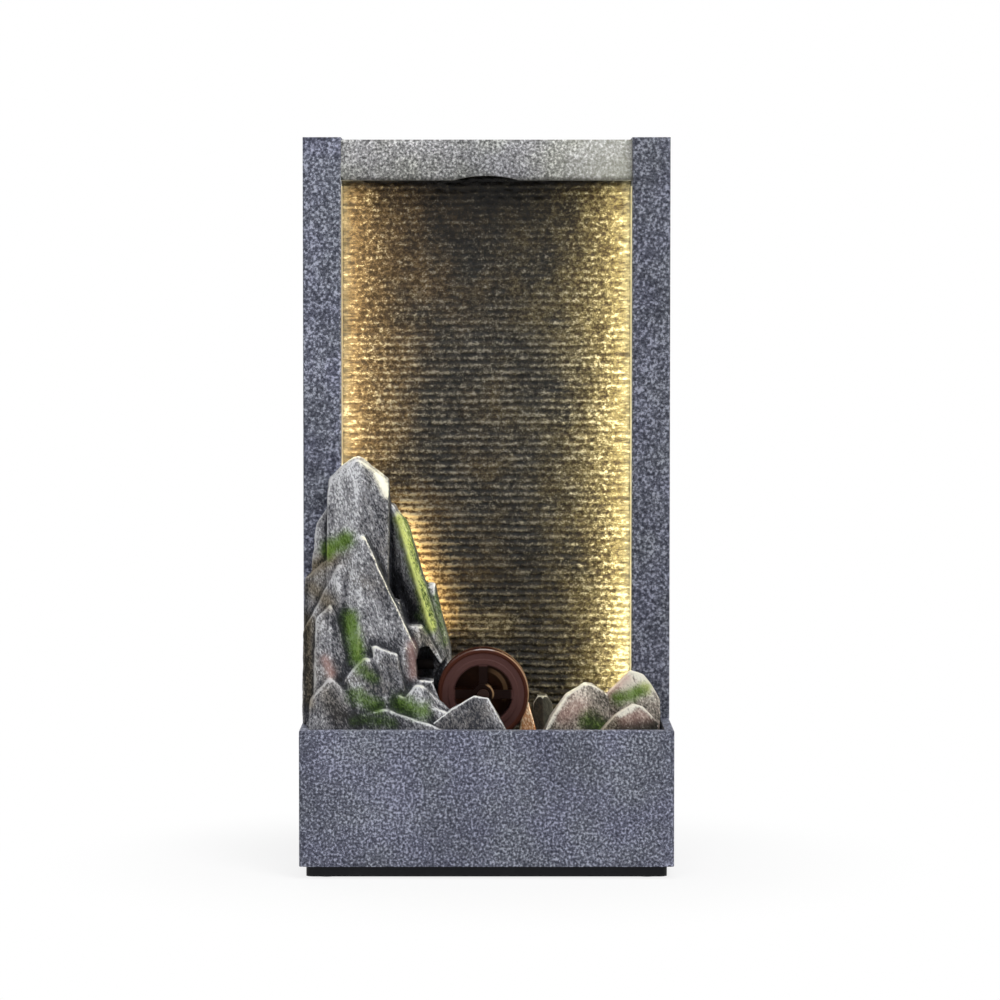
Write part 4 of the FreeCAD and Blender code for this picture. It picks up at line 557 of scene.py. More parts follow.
# ribbed wall: lips of wet slate, each leaning back as it rises, broken into dashes and wandering a little;
# towards the top they are only half as proud
wall = {
    "pitch": 0.0055, "lip": 0.0019, "peak": 0.2, "across": 168, "levels": 520, "behind": 8, "deepest": 0.0006,
    "wander": 0.1, "lay": (1.0, 1.0, 0.5), "wanders": [(1.0, 40.0, 3), (0.5, 130.0, 4)],
    "dashes": 110.0, "dashSeed": 5, "dashShare": 0.3, "calmTop": 0.51, "calmOver": 0.12, "calmLeast": 0.5,
    "chip": 0.00045, "chips": [(1.0, 280.0, 6), (0.8, 560.0, 7)], "crestAt": 0.25,
    # painted light: these strokes lay the lamps' glow on the wall beside the rockery and the right edge
    "paintedGlow": [(-62, 266, -29, 184, 17, 0.8), (-31, 184, 12, 180, 13, 0.8), (108, 196, 110, 150, 11, 0.7)]}
wallLow, wallHigh = (np.array(corner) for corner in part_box("water_wall"))
across = np.linspace(wallLow[0], wallHigh[0], wall["across"])
rise = np.linspace(wallLow[2], wallHigh[2], wall["levels"])
gridX, gridZ = np.meshgrid(across, rise)
flat = np.stack([gridX.ravel(), np.zeros(gridX.size), gridZ.ravel()], -1)
wander = layeredNoise(flat * np.array(wall["lay"]), wall["wanders"])
phase = flat[:, 2] / wall["pitch"] + wall["wander"] * wander
saw = phase - np.floor(phase)
row = np.stack([flat[:, 0] * wall["dashes"], np.floor(phase), np.zeros(len(flat))], -1)
calm = np.clip((wall["calmTop"] - flat[:, 2]) / wall["calmOver"], wall["calmLeast"], 1)
reach = calm * (1 - wall["dashShare"] + wall["dashShare"] * smoothNoise(row, 1.0, wall["dashSeed"]))
lip = np.where(saw < wall["peak"], saw / wall["peak"], 1 - (saw - wall["peak"]) / (1 - wall["peak"]))
proud = wall["lip"] * reach * lip + wall["chip"] * layeredNoise(flat, wall["chips"])
room = wall["lip"] + wall["deepest"]
frontY = wallLow[1] + room - np.clip(proud, -wall["deepest"], room)
loops = np.stack([gridX, frontY.reshape(gridX.shape), gridZ], -1)
backX, backZ = np.meshgrid(np.linspace(wallHigh[0], wallLow[0], wall["behind"]), rise)
loops = np.concatenate([loops, np.stack([backX, np.full(backX.shape, wallHigh[1]), backZ], -1)], 1)
wallPiece = newPiece("ribbedWall", loops.reshape(-1, 3), tubeFaces(wall["levels"], loops.shape[1]))
# painted highlight: a sheen along each lip's crest, broken with the dashes
crestSheen = np.zeros(loops.shape[:2])
crestWave = 0.5 + 0.5 * np.cos(2 * np.pi * (saw - wall["crestAt"]))
crestSheen[:, :wall["across"]] = (reach * crestWave).reshape(gridX.shape)
keepMark(wallPiece.data, "crestSheen", crestSheen.ravel())
# painted light: the glow of the lamps beside the rockery, kept as a mark
keepMark(wallPiece.data, "paintedGlow", brushed(loops.reshape(-1, 3), wall["paintedGlow"]))

# wet slate: dark between pale specks, that gather on the lips as a painted sheen; ochre where it is stained,
# and as painted light where the lamps' glow falls; painted shade dark at the top, darker in its upper middle
# and low in its middle; painted light pale along its outer edges
slab = {
    "fineStretch": (1.0, 1.0, 1.2), "streakStretch": (0.3, 1.0, 1.2), "bump": (0.0009, 0.8),
    "edge": (0.03, 0.112), "nearLight": (0.098, 0.114), "nearSway": 0.016, "streaks": 0.5,
    "ribs": 0.3, "edgeRibs": 0.18, "ribMiddle": 0.35, "base": -0.165, "grain": 1.3, "glowSpeck": 0.16,
    "stainSpeck": 0.12, "stain": 0.75, "glowOchre": 0.3, "edgeGlow": 0.4, "ochreStep": (0.28, 0.66),
    "warmSide": (-0.05, 0.05), "warmMids": ((96, 79, 55), (98, 88, 60)), "deeps": ((15, 15, 15), (44, 33, 19)),
    "mid": (57, 54, 48), "pales": ((130, 125, 114), (198, 187, 156)), "midStep": (0.32, 0.54),
    "paleStep": (0.51, 0.74), "top": (0.514, 0.524), "underLintelShade": (14, 13, 12),
    "damp": ((0.45, 0.52), (0.08, 0.03), (170, 168, 166)), "dim": ((0.32, 0.2), (0.1, 0.05), (204, 200, 190)),
    "brim": (0.108, 0.118), "brimSway": 0.012, "brimShare": 0.1, "brimGlowTone": (240, 232, 200),
    "rough": 0.52, "fineGloss": 0.5}
wetSlate, tree, shader, place = newMaterial("wetSlate", IOR=1.33, **{"Specular IOR Level": 0.3})
crestSheenMark, paintedGlowMark = markOf(tree, "crestSheen"), markOf(tree, "paintedGlow")
finePlace, streakPlace = (
    addNode(tree, "Mapping", {"Vector": place, "Scale": slab[key]}).outputs[0]
    for key in ("fineStretch", "streakStretch"))
fine = noiseOf(finePlace, 370.0, 4.0, 0.72)
streak = noiseOf(streakPlace, 330.0, 3.0, 0.6)
stain = noiseOf(place, 26.0, 4.0, 0.6)
apart = splitPlace(place)
sideways = sums("ABSOLUTE", apart[0])
edge = ramp(sideways, *slab["edge"])
nearLight = ramp(plus(sideways, stain, slab["nearSway"]), *slab["nearLight"])
streakShare = times(nearLight, slab["streaks"])
grain = addNode(tree, "Mix", {0: streakShare, 2: fine, 3: streak}).outputs[0]
ribShare = minus(slab["ribs"], times(edge, slab["edgeRibs"]))
speck = plus(slab["base"], grain, slab["grain"])
# the crest mark's painted highlight gathers pale specks on the lips
speck = plus(speck, minus(crestSheenMark, slab["ribMiddle"]), ribShare)
# painted light: the glow mark lightens the specks
speck = plus(speck, paintedGlowMark, slab["glowSpeck"])
speck = sway(speck, stain, slab["stainSpeck"])
# real stain plus painted light from the glow mark and towards the outer edges
stainAndGlow = times(stain, slab["stain"])
stainAndGlow = plus(stainAndGlow, paintedGlowMark, slab["glowOchre"])
ochre = ramp(plus(stainAndGlow, edge, slab["edgeGlow"]), *slab["ochreStep"])
# warm middle tones, partly stain and partly painted light, tinted left and right like the two strips
warmMid = blend(ramp(apart[0], *slab["warmSide"]), *slab["warmMids"])
deep = blend(ochre, *slab["deeps"])
mid = blend(ochre, slab["mid"], warmMid)
# painted light: specks turn cream towards the outer edges and under the glow mark
pale = blend(sums("MAXIMUM", edge, paintedGlowMark), *slab["pales"])
slate = zoned(deep, mid, (speck, *slab["midStep"]))
slate = zoned(slate, pale, (speck, *slab["paleStep"]))
# painted shade: dark at the top under the lintel
slate = zoned(slate, slab["underLintelShade"], (apart[2], *slab["top"]))
# painted shade: darker in the upper middle and low in the middle
for zone in ("damp", "dim"):
    upLimits, sideLimits, tone = slab[zone]
    slate = zoned(slate, tone, (apart[2], *upLimits), (sideways, *sideLimits), how="MULTIPLY")
# painted light: a pale brim along the outer edges
brim = ramp(plus(sideways, streak, slab["brimSway"]), *slab["brim"])
slate = blend(times(brim, slab["brimShare"]), slate, slab["brimGlowTone"])
tree.links.new(slate, shader["Base Color"])
roughness = minus(slab["rough"], times(fine, slab["fineGloss"]))
tree.links.new(roughness, shader["Roughness"])
addBump(tree, shader, fine, *slab["bump"])
wallPiece.data.materials.append(wetSlate)
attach(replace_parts(wallPiece, "water_wall"), "fountain")
print("ribbed wall:", len(wallPiece.data.polygons), "faces")

stoneGrid = {"around": 160, "levels": 120, "tries": 25, "margin": 0.02}


def facetPlanes(low, spans, axis, crown, facets):
    # a facet: a plane at a gap from the stone's axis at the crown, growing downwards, in shares of the box
    turn, gap, growth = np.array(facets, float).T
    turn = np.radians(turn)
    normals = np.stack([np.cos(turn) / spans[0], np.sin(turn) / spans[1], growth / spans[2]], -1)
    base = low + spans * np.array([axis[0], axis[1], 0])
    offsets = gap + growth * crown + normals @ base
    high = low + spans * np.array([1, 1, crown])
    normals = np.concatenate([normals, np.eye(3), -np.eye(3)])
    offsets = np.concatenate([offsets, high, -low])
    size = np.linalg.norm(normals, axis=1)
    return normals / size[:, None], offsets / size


def stoneSurface(low, spans, axis, crown, power, facets):
    # from the deepest point inside, each direction goes out to the nearest facet; a power mean rounds edges
    low, spans = np.array(low), np.array(spans)
    normals, offsets = facetPlanes(low, spans, axis, crown, facets)
    stretch = spans * np.array([1, 1, crown])
    margin, levels, around = stoneGrid["margin"], stoneGrid["levels"], stoneGrid["around"]
    share = np.meshgrid(*[np.linspace(margin, 1 - margin, stoneGrid["tries"])] * 3, indexing="ij")
    tries = low + np.stack(share, -1).reshape(-1, 3) * stretch
    depth = (offsets - tries @ normals.T).min(1)
    centre = tries[depth.argmax()]
    turn, tilt = np.meshgrid(
        np.linspace(0, 2 * np.pi, around, endpoint=False), np.linspace(np.pi - margin, margin, levels))
    out = np.stack([np.sin(tilt) * np.cos(turn), np.sin(tilt) * np.sin(turn), np.cos(tilt)], -1) * stretch
    nearness = np.clip(out.reshape(-1, 3) @ normals.T, 0, None) / (offsets - normals @ centre)
    largest = nearness.max(1, keepdims=True)
    reach = 1 / (largest[:, 0] * ((nearness / largest) ** power).sum(1) ** (1 / power))
    return centre + out.reshape(-1, 3) * reach[:, None], tubeFaces(levels, around)


def blockPoints(low, high):
    # closed loop of four corners at two levels
    x, y = np.array([low[0], high[0], high[0], low[0]]), np.array([low[1], low[1], high[1], high[1]])
    return np.concatenate([np.stack([x, y, np.full(4, z)], -1) for z in (low[2], high[2])]), tubeFaces(2, 4)


def throughPoints(centre, radius, corners, near, far):
    # outline of corners in shares of the radius, clockwise from the front, carried from near to far
    x, z = np.array(centre)[:, None] + radius * np.array(corners).T
    ends = [np.stack([x, np.full(len(x), y), z], -1) for y in (near, far)]
    return np.concatenate(ends), tubeFaces(2, len(x))


def neighbourMean(values, pairs, counts):
    both = np.concatenate([pairs, pairs[:, ::-1]])
    total = [np.bincount(both[:, 0], values[both[:, 1], axis], len(values)) for axis in range(3)]
    return np.stack(total, -1) / counts[:, None]


# weathering: rounds of averaging for the fine, middling and broad neighbourhoods, where the painted light
# comes from, what edges, painted shade in hollows, painted light and painted shade at the foot count in the
# shading mark, and the relief's chips and chisel marks
worn = {
    "rounds": (4, 26, 170), "sharp": 3.5, "edgeFrom": 0.35, "bulgeFrom": 0.3, "edgeBase": 0.45,
    "edgeRight": 0.3, "edge": 2.0, "middling": 0.9, "broad": 0.28, "broadMost": 1.2,
    "light": (-0.66, -0.36, 0.66), "litFrom": 0.32, "lit": 1.1, "foot": 0.128, "footOver": 0.03,
    "footEdge": 0.5, "footDim": 0.3, "slant": 22, "long": 0.3,
    "chips": [(0.0005, 90.0, 11)], "chisels": [(0.00045, 260.0, 12), (0.0003, 560.0, 13)]}


def fuse(piece, voxel):
    lattice = piece.modifiers.new("fuse", "REMESH")
    lattice.mode, lattice.voxel_size = "VOXEL", voxel


def weathered(name, surfaces, voxel, cutters=(), chisel=1.0, back=1.0):
    # stones fused on a fine lattice, bitten by the cutters, then chipped and chiselled along their normals
    rough = newPiece(name + "Rough", *joinSurfaces(surfaces))
    spare = [rough]
    fuse(rough, voxel)
    for points, faces in cutters:
        cutter = newPiece(name + "Cutter", points, faces)
        bite = rough.modifiers.new("bite", "BOOLEAN")
        bite.operation, bite.object, bite.solver = "DIFFERENCE", cutter, "EXACT"
        spare.append(cutter)
    if cutters:
        fuse(rough, voxel)
    mesh = bpy.data.meshes.new_from_object(rough.evaluated_get(bpy.context.evaluated_depsgraph_get()))
    for part in spare:
        bpy.data.objects.remove(part)
    piece = settle(name, mesh)
    points, normals = readVertices(mesh, "co"), readVertices(mesh, "normal")
    pairs = np.empty(len(mesh.edges) * 2, dtype=np.int32)
    mesh.edges.foreach_get("vertices", pairs)
    pairs = pairs.reshape(-1, 2)
    counts = np.bincount(pairs.ravel(), minlength=len(points))
    # how far a point stands out of, or lies below, the mean of its neighbourhood: fine, middling and broad
    smooth, stand = points, []
    for rounds in worn["rounds"]:
        for _ in range(rounds):
            smooth = neighbourMean(smooth, pairs, counts)
        stand.append(((points - smooth) * normals).sum(1) / voxel)
    sharp = stand[0] * worn["sharp"]
    # the edges' pale brushing favours edges turned up and to the left, as painted highlight
    turned = worn["edgeBase"] + normals[:, 2] - worn["edgeRight"] * normals[:, 0]
    edge = worn["edge"] * np.clip(sharp - worn["edgeFrom"], 0, 1) * np.clip(turned, 0, 1)
    # painted shade: middling and broad hollows darken the mark
    hollowShade = np.clip(-stand[1] * worn["middling"], 0, 1)
    hollowShade = hollowShade + np.clip(-stand[2] * worn["broad"], 0, worn["broadMost"])
    # painted light on faces turned to the light, painted shade towards the foot
    lit = worn["lit"] * (normals @ np.array(worn["light"]) - worn["litFrom"])
    foot = np.clip((worn["foot"] - points[:, 2]) / worn["footOver"], 0, 1)
    ridge = edge * (1 - worn["footEdge"] * foot) - hollowShade + lit - worn["footDim"] * foot
    keepMark(mesh, "ridge", ridge)
    keepMark(mesh, "bulge", np.clip(sharp - worn["bulgeFrom"], 0, 1))
    slant, long = math.radians(worn["slant"]), worn["long"]
    slope = np.array([
        [math.cos(slant), 0, math.sin(slant)], [0, 1, 0],
        [-long * math.sin(slant), 0, long * math.cos(slant)]])
    relief = layeredNoise(points, worn["chips"]) + layeredNoise(points @ slope.T, worn["chisels"])
    points = points + normals * (relief * chisel)[:, None]
    points[:, 1] = np.minimum(points[:, 1], back)
    mesh.vertices.foreach_set("co", points.ravel())
    mesh.update()
    return piece, points, normals


airbrush = {"front": 0.55, "up": 0.6, "bareSteep": 2.8, "bareFrom": 1.95, "bareMost": 0.7, "deepest": -1.3}


def dressStone(piece, node, points, normals, strokes, material, bareTop=0.0):
    # the airbrush reaches faces that look to the front or up, painted highlight lines keep to bulging edges,
    # painted light and painted shade move the shading mark; the bare top's share keeps the painted glow off
    # faces that look straight up
    upward = normals[:, 2]
    facing = np.clip(airbrush["front"] - normals[:, 1] + airbrush["up"] * upward, 0, 1)
    kinds = ("moss", "glow", "earth", "blush", "shade", "light")
    marks = {key: brushed(points, strokes.get(key, [])) * facing for key in kinds}
    bare = np.clip(airbrush["bareSteep"] * upward - airbrush["bareFrom"], 0, airbrush["bareMost"])
    edgeHighlights = brushed(points, strokes.get("line", [])) * readMark(piece.data, "bulge")
    marks["glow"] = np.maximum(marks["glow"] * (1 - bareTop * bare), edgeHighlights)
    ridge = readMark(piece.data, "ridge") + marks.pop("light") - marks.pop("shade")
    marks["ridge"] = np.maximum(ridge, airbrush["deepest"])
    for key, values in marks.items():
        keepMark(piece.data, key, values)
    piece.data.materials.clear()
    piece.data.materials.append(material)
    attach(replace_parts(piece, node), "fountain")
    print(piece.name, len(piece.data.polygons), "faces")


# paints: wash, body, brush and tint, and how far the pale strokes cover
paints = {
    "mountainPaint": ((54, 55, 61), (134, 134, 139), (224, 225, 228), (124, 121, 120), 0.9),
    "poolsidePaint": ((56, 54, 48), (146, 138, 128), (234, 226, 212), (152, 134, 126), 0.9),
    "wetPaint": ((18, 18, 16), (38, 36, 32), (66, 60, 48), (30, 30, 24), 0.5),
    # litPaint: its orange tones are painted light on the lit pebble
    "litPaint": ((120, 74, 44), (200, 142, 98), (250, 228, 194), (208, 150, 104), 0.8),
}
paintOf = {name: rockFinish(name, *look) for name, look in paints.items()}

pitTurns = np.linspace(0, 2 * math.pi, 64, endpoint=False)
roundCorners = [(math.cos(turn), -math.sin(turn)) for turn in pitTurns]

# mountain: its box, and what bites into it: the basin's rim and the pillar as blocks, the wheel's pit and the
# spout's cave as outlines
mountain = {
    "low": (-0.139, -0.0827, 0.0952), "spans": (0.112, 0.0951, 0.2175), "voxel": 0.00103, "bareTop": 1.0,
    "rim": ((-0.4, -0.2, -0.1), (-0.1327, 0.2, 0.1115)),
    "pillar": ((-0.4, -0.0053, 0.0), (-0.1099, 0.2, 0.6)),
    "pit": ((-0.0026, 0.134), 0.0385, roundCorners, -0.052, -0.020),
    "cave": ((-0.040, 0.1507), 0.011, [
        (-1.12, -0.46), (-1.22, 0.78), (-0.93, 1.65), (-0.35, 1.75), (0.13, 1.07), (0.61, 0.31),
        (0.51, -0.65)], -0.09, -0.028),
}
# its stones: axis across and back, crown, edge sharpness and facets, in shares of the box; a facet has its
# azimuth, its gap from the axis at the crown's height, and how much that gap grows down a full height
mountainStones = {
    "peak": ((0.37, 0.5), 1, 150, [
        (180, 0, 3.7), (180, 0.05, 1.83), (180, 0.2, 0.02), (0, 0, 2.45), (0, 0.21, 0),
        (268, 0, 0.9), (246, 0.06, 0.2), (292, 0.07, 0.16), (222, 0.02, 1.2), (318, 0, 1.3)]),
    "shoulderSlab": ((0.19, 0.6), 0.845, 150, [
        (180, 0, 1.29), (180, 0.09, 0.19), (0, 0.1, 0.1), (235, 0.02, 0.1), (280, 0.03, 0.12)]),
    "rightRidge": ((0.605, 0.75), 0.83, 150, [
        (0, 0, 1.43), (0, 0.06, 0.58), (318, 0.016, 0.72), (218, 0.022, -0.24), (180, 0.1, 0.3)]),
    "rightSlab": ((0.87, 0.8), 0.55, 150, [
        (0, 0.02, 0.45), (200, 0, 2), (180, 0.06, 0.1), (250, 0.03, 0.4), (310, 0.03, 0.45)]),
    "faceSlab": ((0.412, 0.34), 0.737, 150, [
        (0, 0, 0.9), (180, 0, 2.8), (180, 0.165, 0.05), (283, 0, 0.32), (238, 0, 0.34), (90, 0.2, 0.3)]),
    "highLedge": ((0.25, 0.46), 0.685, 150, [
        (180, 0, 2.2), (180, 0.235, 0.05), (0, 0.1, 0.3), (225, 0.03, 0.2), (285, 0.03, 0.2),
        (90, 0.3, 0.2)]),
    "leftLedge": ((0.24, 0.38), 0.63, 150, [
        (180, 0, 1), (180, 0.235, 0.02), (0, 0.1, 0.2), (232, 0.02, 0.25), (285, 0.03, 0.3), (90, 0.3, 0.2)]),
    "leftSpire": ((0.193, 0.24), 0.496, 150, [
        (180, 0, 1.93), (180, 0.095, 0.06), (0, 0, 1.08), (0, 0.022, 0.45), (238, 0, 0.35),
        (298, 0, 0.38), (90, 0.2, 0.2)]),
    "leftBoulder": ((0.193, 0.1), 0.255, 30, [
        (180, 0, 1.62), (180, 0.14, 0), (0, 0, 1.92), (225, 0.02, 0.8), (255, 0, 0.5),
        (285, 0, 0.5), (315, 0.02, 0.9), (90, 0.2, 0.3)]),
    "slopeSlab": ((0.33, 0.2), 0.245, 150, [
        (0, 0, 5.6), (180, 0.08, 0.2), (262, 0, 0.2), (90, 0.2, 0.3)]),
    "mossyStone": ((0.43, 0.14), 0.315, 60, [
        (180, 0.02, 1.6), (0, 0.03, 1.1), (250, 0, 0.4), (285, 0.02, 0.2), (320, 0.02, 0.6), (90, 0.2, 0.3)]),
    "chiselStone": ((0.5, 0.19), 0.355, 150, [
        (0, 0, 4.6), (0, 0.13, 0.43), (180, 0.03, -0.25), (255, 0.02, 0.2), (300, 0.06, 0.25),
        (90, 0.2, 0.2)]),
    "caveJamb": ((0.66, 0.28), 0.345, 150, [
        (0, 0.05, 3.5), (0, 0.11, 0.02), (180, 0.06, 0.05), (248, 0.02, 0.2), (300, 0.04, 0.2),
        (90, 0.2, 0.2)]),
    "caveRoof": ((0.76, 0.4), 0.415, 150, [
        (0, 0.045, 1.15), (180, 0.1, 0.2), (258, 0.02, 0.4), (315, 0.03, 0.5), (90, 0.3, 0.2)]),
    "lowBoulder": ((0.78, 0.13), 0.22, 40, [
        (180, 0.02, 1.5), (0, 0.03, 2.1), (250, 0, 0.5), (300, 0.02, 0.6), (90, 0.15, 0.5)]),
    "frontRidge": ((0.565, 0.06), 0.142, 150, [
        (180, 0, 7.5), (0, 0, 5.6), (262, 0, 0.4), (90, 0.06, 0.5)]),
    "core": ((0.45, 0.5), 0.5, 150, [
        (0, 0.2, 0.6), (180, 0.23, 0.26), (262, 0.06, 0.5), (90, 0.27, 0.14)]),
}
# its strokes, each with its two ends, half width and weight
# glow and line strokes are painted highlights, light and shade strokes painted light and painted shade
mountainStrokes = {
    "moss": [
        (-120, 243, -106, 251, 8, 1), (-103, 193, -97, 164, 8, 1), (-100, 160, -84, 148, 6, 0.7),
        (-98, 136, -82, 127, 8, 0.8), (-98, 118, -70, 116, 6, 0.6), (-66, 130, -48, 124, 9, 0.8),
        (-66, 264, -42, 184, 6, 1), (-62, 262, -58, 246, 6, 0.9), (-38, 205, -31, 172, 6, 0.6),
        (-52, 192, -44, 186, 5, 0.6)],
    "glow": [(-95, 313, -79, 301, 6, 1), (-82, 301, -75, 285, 6, 1), (-67, 268, -42, 184, 4.5, 0.8)],
    "line": [
        (-86, 292, -76, 258, 4, 0.8), (-95, 264, -83, 240, 7, 1.3), (-83, 240, -73, 206, 7, 1.3),
        (-73, 206, -58, 172, 8, 1.2), (-58, 174, -52, 150, 4, 0.6), (-122, 205, -113, 198, 6, 0.5),
        (-126, 240, -94, 264, 4, 0.6), (-90, 174, -64, 146, 14, 0.6), (-46, 184, -34, 166, 7, 0.7),
        (-70, 270, -40, 180, 9, 0.5), (-50, 144, -30, 124, 7, 0.6)],
    "earth": [
        (-135, 226, -118, 237, 8, 1), (-133, 214, -120, 204, 8, 0.9), (-136, 190, -134, 130, 6, 1),
        (-119, 136, -110, 122, 10, 0.6), (-50, 180, -44, 172, 7, 0.5)],
    "blush": [(-121, 162, -117, 152, 3.5, 0.8), (-57, 172, -55, 150, 3.5, 0.6)],
    "shade": [
        (-72, 222, -56, 196, 6, 1.6), (-120, 275, -121, 250, 4, 0.8), (-52, 168, -46, 150, 5, 1.2),
        (-118, 216, -108, 198, 3, 0.6), (-104, 120, -64, 116, 9, 1), (-118, 128, -112, 112, 13, 0.6),
        (-119, 190, -117, 160, 8, 0.4), (-88, 150, -74, 132, 9, 0.5), (-138, 236, -137, 104, 4, 1.3)],
    "light": [(-104, 300, -99, 262, 12, 0.15), (-66, 256, -60, 236, 6, 0.4)],
}
low, spans = mountain["low"], mountain["spans"]
surfaces = [stoneSurface(low, spans, *stone) for stone in mountainStones.values()]
cutters = [blockPoints(*mountain[key]) for key in ("rim", "pillar")]
cutters += [throughPoints(*mountain[key]) for key in ("pit", "cave")]
rockery, points, normals = weathered(
    "paintedRockery", surfaces, mountain["voxel"], cutters, back=low[1] + spans[1])
dressStone(
    rockery, "rockery", points, normals, mountainStrokes, paintOf["mountainPaint"], mountain["bareTop"])

# loose stones round the pool: node, paint, low corner, spans, facets about the middle of the box, and strokes
# glow and line strokes are painted highlights, light and shade strokes painted light and painted shade; the
# wet pebble's line is a painted highlight along its top
looseStones = {
    "frontStone": ("front_stone", "mountainPaint", (-0.045, -0.0827), (0.065, 0.0215, 0.0404), [
        (0, 0.199, 0.348), (0, 0.051, 3.489), (180, -0.051, 1.067), (180, 0.024, 0.787), (180, 0.44, 0.03),
        (258, 0.06, 0.4), (305, 0.14, 0.44), (90, 0.22, 0.26)], {
        "line": [(-38, 118, -8, 136, 6, 0.5), (-8, 136, 16, 112, 6, 0.5)],
        "shade": [(-36, 106, 12, 106, 9, 1.1), (-30, 112, -12, 128, 10, 0.75), (-8, 122, 2, 108, 9, 0.6)],
        "light": [(6, 126, 13, 110, 7, 0.6)]}),
    "lowStone": ("low_stone", "poolsidePaint", (0.040, -0.072), (0.056, 0.046, 0.0475), [
        (180, 0.14, 0.4), (180, 0.044, 0.576), (180, -0.11, 1.37), (0, 0.074, 8.266), (0, 0.18, 1.31),
        (0, 0.42, 0.04), (255, 0.06, 0.44), (300, 0.14, 0.41), (90, 0.2, 0.24)], {
        "moss": [(76, 117, 87, 109, 8, 0.7)], "blush": [(58, 120, 70, 128, 7, 0.5)],
        "earth": [(80, 116, 90, 106, 9, 0.4)],
        "glow": [(46, 110, 62, 137, 3, 0.8), (62, 137, 75, 144, 3, 0.9), (75, 144, 84, 137, 2, 0.6)],
        "shade": [(76, 114, 92, 106, 9, 1.2), (46, 104, 92, 102, 10, 1.0), (60, 118, 84, 114, 10, 0.7)]}),
    "tallStone": ("tall_stone", "poolsidePaint", (0.084, -0.0393), (0.048, 0.034, 0.0554), [
        (180, -0.04, 1.16), (180, 0.3, 0.2), (0, 0.011, 3.179), (0, 0.17, 0.93), (0, 0.236, 0.629),
        (250, 0.08, 0.44), (300, 0.12, 0.4), (90, 0.16, 0.32)], {
        "moss": [(100, 129, 120, 136, 6.5, 0.9)], "blush": [(92, 134, 105, 147, 5, 0.9)],
        "glow": [(92, 136, 107, 151, 3, 0.7), (109, 150, 124, 141, 5, 0.8), (124, 141, 127, 128, 4, 0.6)],
        "light": [(104, 144, 122, 138, 10, 0.9)],
        "shade": [(90, 126, 97, 122, 6, 0.6)]}),
    "smallStone": ("small_stone", "poolsidePaint", (0.082, -0.0827), (0.046, 0.026, 0.0341), [
        (180, 0.057, 0.613), (180, -0.096, 1.256), (180, 0.4, 0.1), (0, 0.096, 2.724), (0, 0.219, 0.737),
        (252, 0.08, 0.42), (300, 0.16, 0.34), (90, 0.14, 0.34)], {
        "glow": [(100, 121, 114, 129, 4, 0.8), (114, 129, 124, 120, 4, 0.7)],
        "earth": [(86, 108, 98, 116, 7, 0.7)], "blush": [(104, 120, 120, 122, 6, 0.5)],
        "shade": [(102, 112, 126, 110, 7, 1.3)]}),
    "wetPebble": ("wet_pebble", "wetPaint", (0.0319, -0.0137), (0.022, 0.0317, 0.0335), [
        (0, 0.3, 0.2), (0, 0.14, 0.96), (180, 0.28, 0.22), (180, 0.16, 0.94),
        (250, 0.24, 0.28), (300, 0.22, 0.3), (90, 0.28, 0.2)], {
        "line": [(34, 119, 37, 127, 2, 0.8), (37, 127, 49, 127, 2, 0.8), (49, 127, 52, 119, 2, 0.8)]}),
    "litPebble": ("lit_pebble", "litPaint", (0.0239, -0.020), (0.016, 0.016, 0.029), [
        (0, 0.02, 0.48), (180, 0.2, 0.3), (262, 0.12, 0.4), (90, 0.22, 0.26)], {
        "glow": [(33, 126, 38, 110, 2.5, 1.0)]}),
}
loose = {"rest": 0.0952, "axis": (0.5, 0.5), "crown": 1.0, "sharp": 150, "voxel": 0.0008, "chisel": 0.6}
for name, (node, paint, corner, spans, facets, strokes) in looseStones.items():
    surface = stoneSurface(
        (*corner, loose["rest"]), spans, loose["axis"], loose["crown"], loose["sharp"], facets)
    stone, points, normals = weathered(name, [surface], loose["voxel"], chisel=loose["chisel"])
    dressStone(stone, node, points, normals, strokes, paintOf[paint])


def seenRay(tree):
    # 1 for rays from the camera, and for those that gloss or glass has turned
    path = addNode(tree, "LightPath").outputs
    turned = sums("MAXIMUM", path["Is Glossy Ray"], path["Is Transmission Ray"])
    return sums("MAXIMUM", path["Is Camera Ray"], turned)


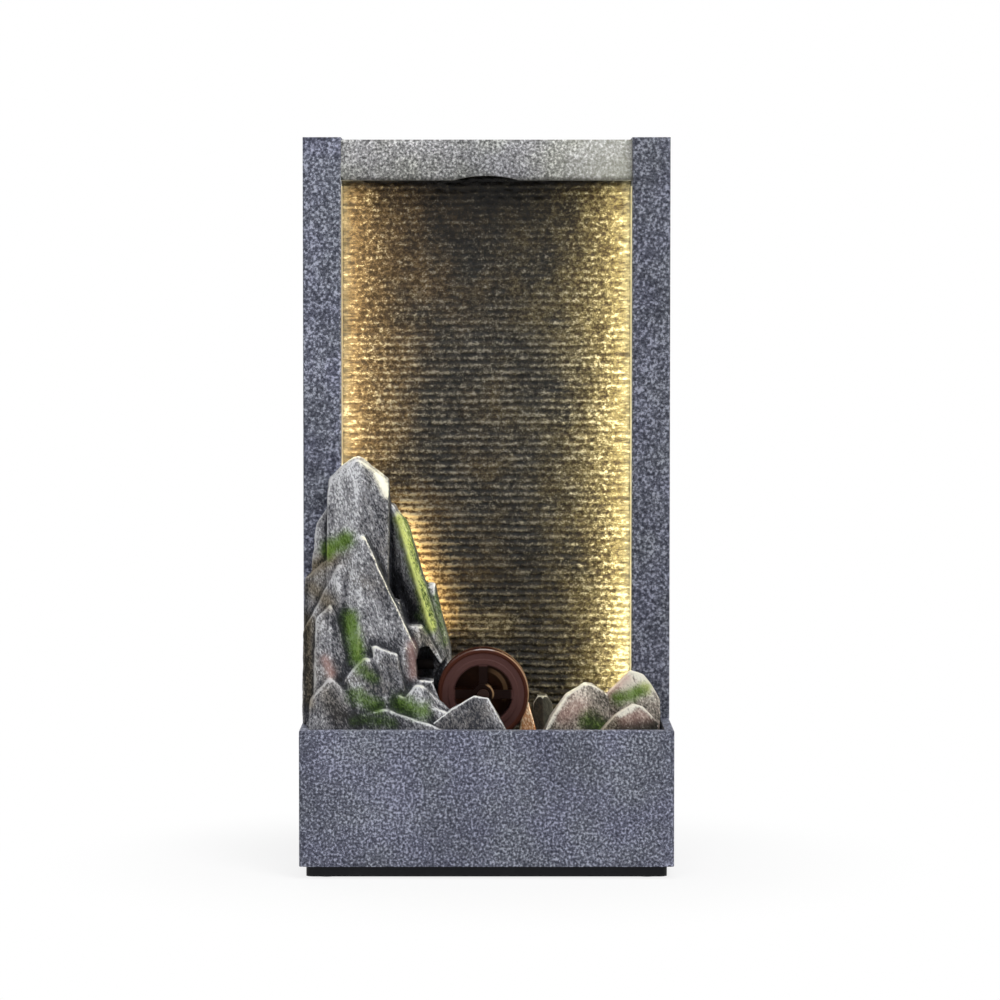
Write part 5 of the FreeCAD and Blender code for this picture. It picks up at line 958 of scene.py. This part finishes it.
# floor: pale sheet that shows white to the camera and still takes a soft shadow
floorLook = {"half": 40.0, "points": 25, "colour": (240, 240, 240), "shadowShare": 0.16, "fade": (0.14, 0.36)}
white = (1, 1, 1, 1)
side = np.linspace(-floorLook["half"], floorLook["half"], floorLook["points"])
floorX, floorY = np.meshgrid(side, side)
floorPoints = np.stack([floorX, floorY, np.zeros(floorX.shape)], -1).reshape(-1, 3)
index = np.arange(floorX.size).reshape(floorX.shape)
floorFaces = np.stack([index[:-1, :-1], index[:-1, 1:], index[1:, 1:], index[1:, :-1]], -1).reshape(-1, 4)
floor = newPiece("paleFloor", floorPoints, floorFaces.tolist())
paleFloor = bpy.data.materials.new("paleFloor")
paleFloor.use_nodes = True
tree = paleFloor.node_tree
tree.nodes.clear()
matt = addNode(tree, "BsdfDiffuse", {"Color": linear(*floorLook["colour"])})
bright = addNode(tree, "Emission", {"Color": white, "Strength": 1.0})
seen = seenRay(tree)
place = addNode(tree, "TexCoord").outputs["Object"]
away = vectorSums("LENGTH", place)["Value"]
near = minus(1.0, ramp(away, *floorLook["fade"]))
share = times(seen, minus(1.0, times(near, floorLook["shadowShare"])))
mixed = addNode(tree, "MixShader", {0: share, 1: matt.outputs[0], 2: bright.outputs[0]})
addNode(tree, "OutputMaterial", {"Surface": mixed.outputs[0]})
floor.data.materials.append(paleFloor)

# studio: white to the camera and to gloss, an even pale dome otherwise
studio = {"dome": 0.165, "shown": 1.0}
world = bpy.data.worlds.new("studio")
scene.world = world
world.use_nodes = True
tree = world.node_tree
tree.nodes.clear()
dome, shown = (
    addNode(tree, "Background", {"Color": white, "Strength": strength})
    for strength in (studio["dome"], studio["shown"]))
mixed = addNode(tree, "MixShader", {0: seenRay(tree), 1: dome.outputs[0], 2: shown.outputs[0]})
addNode(tree, "OutputWorld", {"Surface": mixed.outputs[0]})

# softboxes: place, aim, size and watts
softboxes = {
    "keySoftbox": ((1.1, -1.7, 2.0), (0, 0, 0.25), 1.0, 24.0),
    "fillSoftbox": ((-1.5, -2.2, 0.8), (0, 0, 0.25), 1.6, 9.0),
    "backSoftbox": ((-0.9, 2.2, 1.5), (0, 0, 0.28), 1.8, 15.0),
    "topSoftbox": ((0.1, -0.45, 2.0), (0, 0, 0.25), 0.9, 18.0),
}
for name, (at, aim, size, watts) in softboxes.items():
    lamp = bpy.data.lights.new(name, "AREA")
    lamp.size, lamp.energy = size, watts
    holder = bpy.data.objects.new(name, lamp)
    holder.location = at
    holder.rotation_euler = (Vector(aim) - Vector(at)).to_track_quat("-Z", "Y").to_euler()
    scene.collection.objects.link(holder)
print("studio: floor, dome and", len(softboxes), "softboxes")
